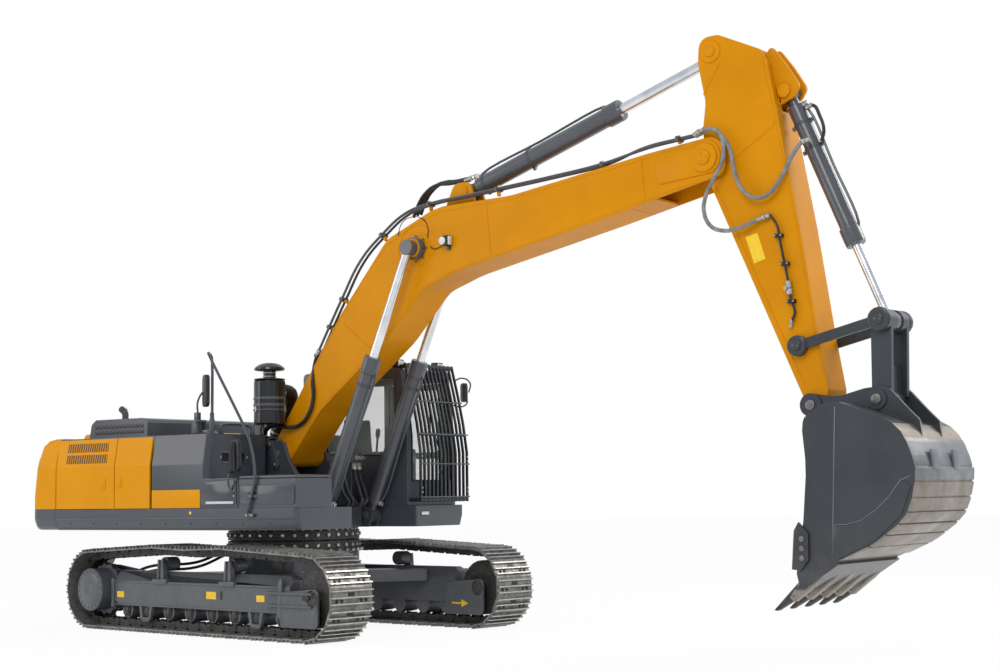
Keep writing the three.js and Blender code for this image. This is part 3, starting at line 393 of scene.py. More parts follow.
def rod(a, b, radius, finish, width=0.002, sides=20):
    """A round bar from a to b, its rims rounded."""
    a, b = Vector(a), Vector(b)
    select_none()
    bpy.ops.mesh.primitive_cone_add(vertices=sides, radius1=radius, radius2=radius, depth=(b - a).length,
        location=(a + b) / 2, rotation=(b - a).to_track_quat("Z", "Y").to_euler())
    piece = bpy.context.object
    settle()
    along = (b - a).normalized()
    if width:
        with editing(piece) as mesh:
            pick(mesh, piece, lambda middle, normal: abs(normal.dot(along)) > 0.99)
            bpy.ops.mesh.bevel(offset=width, segments=2, affect="EDGES", clamp_overlap=True)
    return paint(piece, finish)


def turned(a, along, profile, finish, sides=24):
    """A turned piece: rings of (radius, distance) pulled out one after another from a."""
    a, along = Vector(a), Vector(along).normalized()
    select_none()
    radius, start = profile[0]
    bpy.ops.mesh.primitive_circle_add(vertices=sides, radius=radius, fill_type="NGON", location=a + along * start,
        rotation=along.to_track_quat("Z", "Y").to_euler())
    piece = bpy.context.object
    settle()
    with editing(piece):
        select_every()
        for wide, distance in profile[1:]:
            bpy.ops.mesh.extrude_region_move(TRANSFORM_OT_translate={"value": along * (distance - start)})
            ratio = wide / radius
            bpy.ops.transform.resize(value=(ratio, ratio, ratio), center_override=a + along * distance)
            radius, start = wide, distance
        select_every()
        bpy.ops.mesh.normals_make_consistent(inside=False)
    return paint(piece, finish)


def plate(corners, thick, finish, width=0.003, segments=2):
    """A flat outline of points, drawn out by a vector, its edges rounded."""
    select_none()
    bpy.ops.mesh.primitive_circle_add(vertices=len(corners), fill_type="NGON")
    piece = bpy.context.object
    for vertex, corner in zip(piece.data.vertices, corners):
        vertex.co = corner
    with editing(piece):
        select_every()
        bpy.ops.mesh.extrude_region_move(TRANSFORM_OT_translate={"value": thick})
        select_every()
        bpy.ops.mesh.normals_make_consistent(inside=False)
    return paint(rounded(piece, width, segments), finish)


def upright(points, y):
    """Points of the side view, all at one y."""
    return [(x, y, z) for x, z in points]


def beside(place, y):
    return (place[0], y, place[1])


def rect(x0, x1, z0, z1):
    """The corners of a rectangle in the side view."""
    return [(x0, z0), (x1, z0), (x1, z1), (x0, z1)]


def side_plate(corners, y0, y1, finish, width=0.003):
    """A plate whose outline is in the side view."""
    return plate(upright(corners, y0), (0, y1 - y0, 0), finish, width)


def arc(centre, radius, start, stop, count):
    """Points of an arc in a view's two directions, angles in degrees."""
    angles = [math.radians(start + (stop - start) * i / (count - 1)) for i in range(count)]
    return [(centre[0] + radius * math.cos(a), centre[1] + radius * math.sin(a)) for a in angles]


def hose(points, radius, finish, steps=8, sides=3, straight=False):
    """A round tube along a smooth line through points."""
    line = bpy.data.curves.new("line", "CURVE")
    line.dimensions = "3D"
    line.bevel_depth, line.bevel_resolution, line.resolution_u = radius, sides, steps
    line.use_fill_caps = True
    spline = line.splines.new("BEZIER")
    spline.bezier_points.add(len(points) - 1)
    for knot, point in zip(spline.bezier_points, points):
        knot.co = point
        knot.handle_left_type = knot.handle_right_type = "VECTOR" if straight else "AUTO"
    piece = bpy.data.objects.new("line", line)
    bpy.context.collection.objects.link(piece)
    select_none()
    piece.select_set(True)
    bpy.context.view_layer.objects.active = piece
    bpy.ops.object.convert(target="MESH")
    return paint(bpy.context.object, finish)


def copy(piece, move):
    """The same piece elsewhere, with its own mesh."""
    made = piece.copy()
    made.data = piece.data.copy()
    made.data.transform(move)
    if move.determinant() < 0:
        made.data.flip_normals()
    bpy.context.collection.objects.link(made)
    return made


def shift(x=0.0, y=0.0, z=0.0):
    return Matrix.Translation((x, y, z))


def row(piece, count, step):
    """The piece repeated in a row."""
    return [piece] + [copy(piece, Matrix.Translation(Vector(step) * i)) for i in range(1, count)]


def gather(name, pieces, body, place=None, crease=35):
    """Joins pieces into one named piece that rides on a body."""
    flat = []
    for entry in pieces:
        flat.extend(entry if isinstance(entry, list) else [entry])
    select_none()
    for piece in flat:
        piece.select_set(True)
    bpy.context.view_layer.objects.active = flat[0]
    if len(flat) > 1:
        bpy.ops.object.join()
    whole = bpy.context.view_layer.objects.active
    whole.name = whole.data.name = name
    whole.data.transform(MACHINE if place is None else place)
    bpy.ops.object.shade_smooth_by_angle(angle=math.radians(crease))
    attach(whole, body)
    return whole


def lean_in(piece):
    """Leans the flanks of the house in above the crease that runs along them at mid height."""
    back = MACHINE.inverted()
    for vertex in piece.data.vertices:
        spot = back @ vertex.co
        if spot.z > CREASE and abs(spot.y) > INSIDE and spot.x < 0.02:
            vertex.co.y -= math.copysign(LEAN * (spot.z - CREASE) / (HOUSE_TOP - CREASE), spot.y)
        elif spot.z < SKIRT and abs(spot.y) > INSIDE:
            vertex.co.y -= math.copysign(TUCK * (SKIRT - spot.z) / SKIRT_DROP, spot.y)
    return piece


def dress(node, finish, width=0.004, crease=34, zones=(), lean=False):
    """Stands a welded, edge-rounded copy of a CAD piece in its place. A zone is a finish for the faces
    that pass a test of their middle and normal, cut free first along a plane where one is given."""
    source = frame["nodes"][node]
    piece = source.copy()
    piece.data = source.data.copy()
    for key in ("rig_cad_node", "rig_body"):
        if key in piece:
            del piece[key]
    piece.parent = None
    bpy.context.collection.objects.link(piece)
    piece.name = piece.data.name = f"{node}_finished"
    with editing(piece):
        select_every()
        bpy.ops.mesh.remove_doubles(threshold=0.00002)
        bpy.ops.mesh.dissolve_limited(angle_limit=math.radians(0.4))
        for _, point, normal, _ in zones:
            if point is not None:
                select_every()
                bpy.ops.mesh.bisect(plane_co=MACHINE @ Vector(point), plane_no=normal)
        if lean:
            for height in (CREASE, SKIRT):
                select_every()
                bpy.ops.mesh.bisect(plane_co=MACHINE @ Vector((0, 0, height)), plane_no=UP)
    if lean:
        lean_in(piece)
    paint(piece, finish)
    back = MACHINE.inverted()
    for number, (paint_over, _, _, test) in enumerate(zones, start=1):
        piece.data.materials.append(paint_over)
        for face in piece.data.polygons:
            if test(back @ face.center, face.normal):
                face.material_index = number
    if width:
        edge = piece.modifiers.new("edge", "BEVEL")
        edge.width, edge.segments, edge.limit_method = width, 2, "ANGLE"
        edge.angle_limit = math.radians(crease)
        edge.use_clamp_overlap = False
        bpy.ops.object.modifier_apply(modifier="edge")
    bpy.ops.object.shade_smooth_by_angle(angle=math.radians(crease + 8))
    even = piece.modifiers.new("even", "WEIGHTED_NORMAL")
    even.keep_sharp = True
    bpy.ops.object.modifier_apply(modifier="even")
    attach(piece, source["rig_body"])
    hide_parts(node)
    return piece


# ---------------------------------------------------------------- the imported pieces, finished


def dress_undercarriage():
    for side in ("right", "left"):
        dress(f"track_frame_{side}", Finish.chassis, 0.006)
        dress(f"idler_{side}", Finish.chain, 0.006)
        dress(f"sprocket_{side}", Finish.chassis, 0.006)
    dress("carbody", Finish.chassis, 0.01)
    dress("slew_ring", Finish.chain, 0.005)


def dress_house():
    edge = bpy.context.scene.excavator_sizes.panel_edge
    for node in ("rear_door_right", "front_door_right", "rear_door_left", "front_door_left"):
        dress(node, Finish.house, edge, crease=8, lean=True)
    dress("counterweight", Finish.house, 0.012, crease=9, lean=True,
        zones=[(Finish.slate, (0, 0, 1.47), UP, lambda spot, way: spot.z < 1.47)])
    dress("revolving_deck", Finish.slate, 0.005, crease=18, lean=True)
    dress("engine_block", Finish.cast, 0.02)
    dress("housing", Finish.slate, 0.003)
    dress("engine_hood", Finish.slate, edge)
    dress("front_cover", Finish.slate, edge)
    dress("fuel_tank", Finish.tank, 0.008, crease=8, lean=True)
    dress("tool_box", Finish.slate, edge)
    dress("tool_box_lid", Finish.slate, edge)
    dress("fuel_cap", Finish.black, 0.006)
    dress("air_cleaner", Finish.black, 0.006, crease=28)
    dress("exhaust_pipe", Finish.cast, 0.002)


def dress_cab():
    dress("cab_shell", Finish.slate, 0.006)
    dress("cab_roof_hatch", Finish.slate, 0.01)
    dress("cab_door", Finish.slate, 0.004)
    dress("cab_guard", Finish.guard, 0.003)


def eye_zone(x, z, reach=0.135):
    """The eye at a rod's end keeps the cylinder's paint."""
    return (Finish.ram, None, None, lambda spot, way: math.hypot(spot.x - x, spot.z - z) < reach)


def dress_front():
    seam = bpy.context.scene.excavator_sizes.weld_edge
    dress("boom", Finish.yellow, seam, crease=30)
    dress("arm", Finish.yellow, seam, crease=30)
    dress("bucket", Finish.bucket, 0.004, crease=30, zones=[(Finish.scoured, None, None, lambda spot,
        way: abs(way.y) < 0.3 and (spot.x - 7.75) * way.x + (spot.z - 1.7) * way.z > 0.15 and spot.z < 2.15
        and spot.x > 7.5 and abs(spot.y) < 0.725)])
    dress("h_link", Finish.bucket, 0.005)
    for side in ("right", "left"):
        dress(f"side_link_{side}", Finish.bucket, 0.005)
        dress(f"boom_cylinder_barrel_{side}", Finish.ram, 0.004)
        dress(f"boom_cylinder_rod_{side}", Finish.chrome, 0.003, zones=[eye_zone(*LIFT_EYE)])
    for name in ("arm", "bucket"):
        dress(f"{name}_cylinder_barrel", Finish.ram, 0.004)
        eye = eye_zone(*CROWD_EYE) if name == "arm" else eye_zone(*KNEE)
        dress(f"{name}_cylinder_rod", Finish.chrome, 0.003, zones=[eye])
    pins = ["boom_foot_pin", "boom_arm_pin", "arm_cylinder_pin", "bucket_cylinder_pin", "side_link_pin",
        "arm_bucket_pin", "h_link_pin", "boom_cylinder_pin_right", "boom_cylinder_pin_left"]
    for node in pins:
        dress(node, Finish.pin, 0.005)


# ---------------------------------------------------------------- undercarriage


AXLE, END, RISE = 2.015, 0.4785, 0.092  # half wheelbase, loop radius, lift of the top run
CARRIERS = (-0.73, 0.54)
HALF_TRACK, SHOE_WIDTH, SHOES = 1.295, 0.6, 49


def round_corner(before, corner, after, radius, count=7):
    corner, a, b = Vector(corner), Vector(before) - Vector(corner), Vector(after) - Vector(corner)
    half = a.angle(b) / 2
    reach = min(radius / math.tan(half), 0.5 * a.length, 0.5 * b.length)
    start, stop = corner + a.normalized() * reach, corner + b.normalized() * reach
    middle = corner + (a.normalized() + b.normalized()).normalized() * (reach / math.cos(half))
    u, v = start - middle, stop - middle
    turn = u.angle_signed(v)
    return [middle + Matrix.Rotation(-turn * i / (count - 1), 2) @ u for i in range(count)]


def loop_path():
    """The outside of the loop, as the CAD draws it: flat below, round at the ends."""
    top, ends = 2 * END, AXLE + END
    corners = [((-ends, 0), END), ((ends, 0), END), ((ends, top), END), ((CARRIERS[1], top + RISE), 0.9),
        ((sum(CARRIERS) / 2, top + RISE - 0.022), 0.9), ((CARRIERS[0], top + RISE), 0.9), ((-ends, top), END)]
    points = []
    for i, (corner, radius) in enumerate(corners):
        points += round_corner(corners[i - 1][0], corner, corners[(i + 1) % len(corners)][0], radius, 15)
    return points


def along_loop(points, count, offset=0.0):
    """Places spaced evenly round the loop: point, direction and outward normal."""
    ring = points + [points[0]]
    lengths = [0.0]
    for a, b in zip(ring, ring[1:]):
        lengths.append(lengths[-1] + (b - a).length)
    places = []
    for i in range(count):
        want = (i + offset) * lengths[-1] / count
        k = max(j for j in range(len(lengths) - 1) if lengths[j] <= want)
        a, b = ring[k], ring[k + 1]
        if (b - a).length < 1e-6:
            continue
        ahead = ring[(k + 2) % len(ring)] if k + 2 < len(ring) else ring[1]
        along = (b - a).normalized()
        share = (want - lengths[k]) / (b - a).length
        # turn smoothly from one chord to the next
        before = (ring[k] - ring[k - 1]).normalized() if k and (ring[k] - ring[k - 1]).length > 1e-6 else along
        after = (ahead - b).normalized() if (ahead - b).length > 1e-6 else along
        smooth = (before.lerp(along, min(1, share + 0.5)) if share < 0.5 else along.lerp(after, share - 0.5))
        smooth.normalize()
        places.append((a.lerp(b, share), smooth, lengths[-1] / count))
    return places


def one_shoe(pitch, finish):
    """A triple-grouser shoe, lying flat with its grousers up and its top at z 0."""
    half = SHOE_WIDTH / 2
    body = [(-0.47, -0.046), (-0.47, -0.03), (-0.34, -0.03), (-0.33, 0.0), (-0.27, 0.0), (-0.25, -0.03),
        (-0.04, -0.03), (-0.03, -0.002), (0.03, -0.002), (0.04, -0.03), (0.27, -0.03), (0.29, -0.002),
        (0.35, -0.002), (0.37, -0.03), (0.53, -0.034), (0.53, -0.048)]
    corners = [(u * pitch, -half, v - 0.005) for u, v in body]
    shoe = plate(corners, (0, 2 * half, 0), finish, width=0)
    shoe.data.materials.append(Finish.edge)
    for face in shoe.data.polygons:
        if face.center.z > -0.011 and face.normal.z > 0.6:
            face.material_index = 1
    return shoe


def one_link(pitch, finish):
    """One side bar of the chain, with its two rounded ends and a waist."""
    h = 0.044
    top = [(-0.52 * pitch, -0.03), (-0.3 * pitch, 0.0), (0.3 * pitch, 0.0), (0.52 * pitch, -0.03)]
    low = [(0.56 * pitch, -0.06), (0.46 * pitch, -2 * h + 0.004), (0.16 * pitch, -2 * h), (0.08 * pitch, -0.07),
        (-0.08 * pitch, -0.07), (-0.16 * pitch, -2 * h), (-0.46 * pitch, -2 * h + 0.004), (-0.56 * pitch, -0.06)]
    return plate([(u, -0.018, v) for u, v in top + low], (0, 0.036, 0), finish, width=0)


def build_tracks():
    path = loop_path()
    for side, name in SIDES:
        middle = side * HALF_TRACK
        pieces, links = [], []
        spots = along_loop(path, SHOES, 0.5)
        pitch = spots[0][2]
        shoe = one_shoe(pitch, Finish.shoe)
        bolt = turned((0, 0, -0.036), UP, [(0.017, 0), (0.017, 0.012), (0.012, 0.016)], Finish.plastic, 6)
        # a black patch between two grousers is painted shade standing for the hole through each shoe
        mud_hole_shade = block((0.06 * pitch, -0.05, -0.039), (0.24 * pitch, 0.05, -0.0335), Finish.plastic, 0.002, 1)
        bar = one_link(pitch, Finish.chain)
        bush = rod((0, -0.09, 0), (0, 0.09, 0), 0.026, Finish.chain, width=0, sides=12)
        for point, along, _ in spots:
            # the path runs along the ground towards +X, so outwards is to the right of the way it goes
            out = Vector((along.y, -along.x))
            turn = Matrix(((along.x, 0, out.x, point.x), (0, -1, 0, middle), (along.y, 0, out.y, point.y),
                (0, 0, 0, 1)))
            pieces.append(copy(shoe, turn))
            pieces.append(copy(mud_hole_shade, turn))
            for y in (-0.21, -0.14, 0.14, 0.21):
                pieces.append(copy(bolt, turn @ shift(-0.15 * pitch, y)))
            for y in (-0.085, 0.085):
                links.append(copy(bar, turn @ shift(0, y, -0.05)))
            links.append(copy(bush, turn @ shift(pitch / 2, 0, -0.094)))
        for sample in (shoe, bolt, mud_hole_shade, bar, bush):
            bpy.data.objects.remove(sample)
        track = gather(f"track_shoes_{name}", pieces, "undercarriage", TRACKS)
        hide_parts(f"track_loop_{name}")
        gather(f"track_chain_{name}", links, "undercarriage", TRACKS)


def bolts(places, axis, radius, finish, high=0.016, sides=6):
    """Hexagon bolt heads at places, all pointing along an axis."""
    axis = Vector(axis).normalized()
    return [turned(place, axis, [(radius, 0), (radius, high * 0.8), (radius * 0.82, high)], finish,
        sides) for place in places]


def bolt_ring(centre, axis, ring, radius, finish, count, high=0.016):
    axis = Vector(axis).normalized()
    across = axis.orthogonal().normalized()
    first = bolts([Vector(centre) + across * ring], axis, radius, finish, high)[0]
    turns = [Matrix.Translation(centre) @ Matrix.Rotation(2 * math.pi * i / count, 4,
        axis) @ Matrix.Translation(-Vector(centre)) for i in range(1, count)]
    return [first] + [copy(first, turn) for turn in turns]


def weld(points, radius, finish):
    """A bead of weld along points: a low rounded ridge."""
    return hose(points, radius, finish, steps=3, sides=1, straight=True)


# ---------------------------------------------------------------- undercarriage fittings


def fit_track_frames():
    for side, name in SIDES:
        face = side * (HALF_TRACK + 0.15)  # outer side of the beam
        inner = side * (HALF_TRACK - 0.15)
        drive = Vector((-AXLE, side * (HALF_TRACK + 0.265), END))
        out = Vector((0, side, 0))
        parts = [
            turned(drive - out * 0.03, out, [(0.262, 0), (0.262, 0.03), (0.25, 0.042), (0.2, 0.046), (0.19, 0.052),
                                             (0.05, 0.054), (0.03, 0.05)], Finish.chassis, 40),
            bolt_ring(drive + out * 0.004, out, 0.226, 0.013, Finish.chassis, 18),
            # flange along the beam's shoulder, end cap with its ribs and the yoke's edge
            block((-1.66, face - side * 0.03, 0.575), (1.5, face + side * 0.012, 0.6), Finish.chassis, 0.005),
            block((-1.66, face - side * 0.03, 0.3), (1.5, face + side * 0.012, 0.322), Finish.chassis, 0.005),
            side_plate([(1.44, 0.27), (1.52, 0.22), (1.52, 0.69), (1.46, 0.66)], face - side * 0.02,
                       face + side * 0.034, Finish.chassis, 0.006),
            block((1.26, face, 0.515), (2.03, face + side * 0.055, 0.54), Finish.chassis, 0.006),
            block((1.26, face, 0.375), (2.03, face + side * 0.055, 0.4), Finish.chassis, 0.006),
            side_plate([(1.86, 0.47), (1.88, 0.455), (1.96, 0.455), (1.98, 0.47), (1.98, 0.49), (1.96, 0.505),
                        (1.88, 0.505), (1.86, 0.49)], face + side * 0.03, face + side * 0.0335, Finish.plastic, 0.001),
            block((-1.72, face - side * 0.04, 0.28), (-1.66, face + side * 0.02, 0.62), Finish.chassis, 0.006),
            side_plate([(0.4, 0.43), (0.42, 0.415), (0.44, 0.43), (0.44, 0.51), (0.42, 0.525), (0.4, 0.51)],
                       face - side * 0.002, face + side * 0.0025, Finish.plastic, 0),
        ]
        # roller brackets with two bolts each, and the two deeper guards
        span = 3.3 - 0.42
        for i in range(8):
            x = -1.42 + i * span / 7
            guard = i in (1, 6)
            bracket = side_plate([(x - 0.075, 0.305), (x + 0.075, 0.305), (x + 0.06, 0.2), (x + 0.035, 0.165),
                (x - 0.035, 0.165), (x - 0.06, 0.2)], face - side * 0.05, face - side * 0.005, Finish.chain, 0.008)
            parts.append(bracket)
            parts.append(turned((x, face - side * 0.01, 0.235), out, [(0.05, 0), (0.05, 0.012), (0.03, 0.02)],
                Finish.chain, 16))
            parts += bolts([(x + dx, face - side * 0.008, 0.285) for dx in (-0.05, 0.05)], out, 0.013, Finish.chain)
            if guard:
                parts.append(side_plate([(x - 0.13, 0.3), (x - 0.08, 0.3), (x - 0.06, 0.17), (x + 0.06, 0.17),
                    (x + 0.08, 0.3), (x + 0.13, 0.3), (x + 0.1, 0.15), (x + 0.06, 0.115), (x - 0.06, 0.115),
                    (x - 0.1, 0.15)], face - side * 0.02, face + side * 0.02, Finish.chassis, 0.005))
        # carrier rollers: outer flange caps and grooves
        for x in CARRIERS:
            top = 2 * END + RISE - 0.144 - 0.085 - 0.016
            hub = Vector((x, side * (HALF_TRACK + 0.08), top))
            parts.append(turned(hub, out, [(0.085, 0), (0.085, 0.012), (0.06, 0.018), (0.05, 0.05), (0.03, 0.056)],
                Finish.chain, 24))
            parts.append(side_plate(rect(x - 0.14, x + 0.14, 0.575, 0.63), face - side * 0.07, face + side * 0.03,
                Finish.chassis, 0.006))
            for dx in (-0.05, 0.05):
                parts.append(side_plate([(x + dx - 0.018, 0.62), (x + dx + 0.018, 0.62),
                    (x + dx * 0.7 + 0.014, 0.86), (x + dx * 0.7 - 0.014, 0.86)], face - side * 0.02,
                    face + side * 0.012, Finish.chassis, 0.004))
        gather(f"track_frame_fittings_{name}", parts, "undercarriage", TRACKS)
        # blank stickers along the beam, and the pointed one inside the front yoke
        labels = [side_plate(rect(x - w, x + w, z - h, z + h), face - side * 0.001, face + side * 0.003,
            Finish.sticker, 0) for x, z, w, h in ((-1.54, 0.43, 0.07, 0.036), (0.235, 0.465, 0.09, 0.042),
            (1.12, 0.455, 0.07, 0.036))]
        shaft = [(1.6, 0.27), (1.76, 0.27), (1.76, 0.235), (1.87, 0.28), (1.76, 0.325), (1.76, 0.29), (1.6, 0.29)]
        labels.append(side_plate([(x, z + 0.01) for x, z in shaft], inner - side * 0.0335, inner - side * 0.031,
            Finish.sticker, 0))
        gather(f"blank_stickers_{name}", labels, "undercarriage", TRACKS)


def fit_slew_ring():
    parts = []
    for radius, low, count in ((0.765, 1.185, 44), (0.83, 0.955, 40)):
        first = turned((radius, 0, low), (0, 0, 1 if low > 1 else -1), [(0.02, -0.006), (0.02, 0.02),
            (0.016, 0.026)], Finish.zinc, 6)
        parts.append(first)
        parts += [copy(first, Matrix.Rotation(2 * math.pi * i / count, 4, "Z")) for i in range(1, count)]
    for z, count in ((1.005, 36), (1.13, 36)):
        first = turned((0.797, 0, z), (1, 0, 0), [(0.022, 0), (0.022, 0.016), (0.016, 0.02)], Finish.edge, 6)
        parts.append(first)
        parts += [copy(first, Matrix.Rotation(2 * math.pi * i / count, 4, "Z")) for i in range(1, count)]
    gather("slew_ring_bolts", parts, "undercarriage", TRACKS)
    # hoses of the swivel in the middle of the carbody run down to the two drives
    lines = []
    for side in (-1, 1):
        for drop in (0.0, 0.06):
            lines.append(hose([(-0.25, side * 0.15, 0.9 - drop), (-0.6, side * 0.35, 0.985 - drop),
                (-0.95, side * 0.75, 0.8 - drop), (-1.45, side * 1.02, 0.76 - drop),
                (-1.86, side * 1.05, 0.66 - drop)], 0.018, Finish.hose))
    gather("drive_hoses", lines, "undercarriage", TRACKS)


# ---------------------------------------------------------------- house fittings


def fit_doors():
    """Louvre vanes and latches of the side doors; the black strip in each gap between the vanes is painted shade."""
    for side, name, x0, x1 in ((-1, "right", -2.65, -1.585), (1, "left", -2.65, -1.5)):
        face = side * FLANK
        parts = []
        for top in (2.264, 2.124):
            count = 18
            left, right = x0 + 0.19, x1 - 0.15
            step = (right - left) / count
            # black strip in each gap: painted shade where the louvre opens
            shaded_slot = plate([(left, face + side * 0.0015, top), (left + step * 0.46, face + side * 0.0015, top),
                (left + step * 0.46 - 0.008, face + side * 0.0015, top - 0.1),
                (left - 0.008, face + side * 0.0015, top - 0.1)], (0, -side * 0.012, 0), Finish.plastic, 0)
            vane = plate([(left + step * 0.5, face + side * 0.001, top), (left + step * 0.96, face + side * 0.004,
                top), (left + step * 0.96 - 0.008, face + side * 0.004, top - 0.1),
                (left + step * 0.5 - 0.008, face + side * 0.001, top - 0.1)], (0, -side * 0.006, 0), Finish.house,
                0)
            parts += row(shaded_slot, count, (step, 0, 0)) + row(vane, count, (step, 0, 0))
        latch_x = x0 + 0.86 if side < 0 else x1 - 0.12
        parts.append(side_plate(rect(latch_x - 0.05, latch_x + 0.05, 1.7, 1.84), face - side * 0.001,
            face + side * 0.006, Finish.house, 0.002))
        parts.append(side_plate(rect(latch_x - 0.03, latch_x + 0.03, 1.74, 1.8), face, face + side * 0.011,
            Finish.house, 0.003))
        lean_in(gather(f"rear_door_louvres_{name}", parts, f"rear_door_{name}"))
    for side, name, x in ((-1, "right", -1.5), (1, "left", -0.5)):
        face = side * FLANK
        parts = [side_plate(rect(x - 0.045, x + 0.045, 1.72, 1.86), face - side * 0.001, face + side * 0.006,
            Finish.house, 0.002), side_plate(rect(x - 0.028, x + 0.028, 1.755, 1.825), face, face + side * 0.012,
            Finish.house, 0.003)]
        gather(f"front_door_latch_{name}", parts, f"front_door_{name}")


def fit_house():
    parts = []
    # skirt: a rolled edge along its top and its foot, and bolt heads between
    for side in (-1, 1):
        end = 1.37 if side < 0 else 1.47
        face = side * FLANK
        parts.append(block((-2.64, face - side * 0.02, 1.335), (end - 0.03, face + side * 0.008, 1.352),
            Finish.slate, 0.004))
        parts.append(block((-2.64, face - side * 0.02, 1.208), (end - 0.03, face + side * 0.01, 1.228),
            Finish.slate, 0.005))
        parts += bolts([(-2.4 + 0.42 * i, face, 1.285) for i in range(9)], (0, side, 0), 0.011, Finish.slate, 0.008)
    # pin retainers and raised rims of the boom's foot plates
    for side in (-1, 1):
        face = side * 0.381
        parts.append(side_plate(arc((-0.03, 2.215), 0.055, 20, 200, 9) + arc((0.065, 1.975), 0.06, 200, 380, 9),
            face, face + side * 0.024, Finish.slate, 0.006))
        parts.append(turned((-0.03, face, 2.215), (0, side, 0), [(0.04, 0.02), (0.04, 0.05), (0.03, 0.056)],
            Finish.pin, 20))
        parts += bolts([(0.065, face + side * 0.022, 1.975)], (0, side, 0), 0.02, Finish.zinc, 0.02)
        rim = [(-0.69, 1.46), (-0.16, 2.2), (-0.1, 2.27), (0.12, 2.27), (0.2, 2.2), (0.26, 2.03), (0.72, 1.46)]
        parts.append(hose(upright(rim, face), 0.012, Finish.slate, steps=3))
    # deck front: the small bare plate
    parts.append(block((1.489, 0.62, 1.335), (1.494, 0.78, 1.395), Finish.plastic, 0.002))
    parts.append(block((1.493, 0.63, 1.345), (1.4965, 0.77, 1.385), Finish.pale, 0.001))
    lean_in(gather("deck_fittings", parts, "upper"))
    dot = turned((-0.28, -1.469, 1.41), TO_RIGHT, [(0.018, 0), (0.018, 0.004), (0.012, 0.005)], Finish.sticker, 16)
    gather("deck_marker", [dot], "upper")
    lower = block((-0.925, -1.476, 1.468), (-0.12, -1.46, 1.68), Finish.house, 0.003)
    gather("tank_foot_panel", [lower], "upper")


def fit_counterweight():
    """Lifting eyes, bolt heads and tail lamps of the counterweight."""
    parts = []
    for y in (-0.72, 0.72):
        parts.append(side_plate(arc((-2.92, 2.36), 0.06, 0, 180, 10) + [(-3.0, 2.3), (-2.84, 2.3)], y - 0.02,
            y + 0.02, Finish.house, 0.006))
    for y in (-0.5, 0.0, 0.5):
        parts += bolts([(-3.303, y, 1.62)], (-1, 0, 0), 0.03, Finish.pin, 0.012)
    gather("counterweight_fittings", parts, "upper")
    lamps = []
    for y in (-0.95, 0.95):
        lamps.append(block((-3.25, y - 0.09, 1.98), (-3.19, y + 0.09, 2.06), Finish.plastic, 0.01))
        lamps.append(block((-3.256, y - 0.075, 1.99), (-3.245, y + 0.075, 2.05), Finish.lens, 0.004))
    gather("tail_lamps", lamps, "upper")


def fit_hood():
    parts = []
    # two rows of cut vents down the right side, and two on the left, each a black block of painted shade where it
    # opens
    for side, y in ((-1, -0.95), (1, 1.2)):
        for z in (2.42, 2.49):
            shaded_vent = block((-2.525, y - side * 0.02, z - 0.024), (-2.467, y + side * 0.004, z + 0.024), Finish.black,
                0.002)
            parts += row(shaded_vent, 12, (0.075, 0, 0))
    # three black strips across the top: painted shade for the vents there
    for x in (-2.3, -2.12, -1.94):
        shaded_vent = block((x, -0.3, 2.583), (x + 0.05, 0.7, 2.588), Finish.plastic, 0.002)
        parts.append(shaded_vent)
    for y in (0.18, 1.03):
        parts.append(block((-1.572, y - 0.11, 2.405), (-1.562, y + 0.11, 2.455), Finish.slate, 0.004))
        parts.append(block((-1.5625, y - 0.08, 2.42), (-1.559, y + 0.08, 2.44), Finish.plastic, 0.002))
    gather("hood_fittings", parts, "hood")
    gather("hood_sticker", [block((-1.571, 0.38, 2.37), (-1.566, 0.68, 2.42), Finish.sticker, 0.001)], "hood")
    rain = turned((-2.47, -0.5, 2.586), UP, [(0.07, 0), (0.07, 0.012), (0.048, 0.02)], Finish.cast, 20)
    gather("exhaust_collar", [rain], "hood")


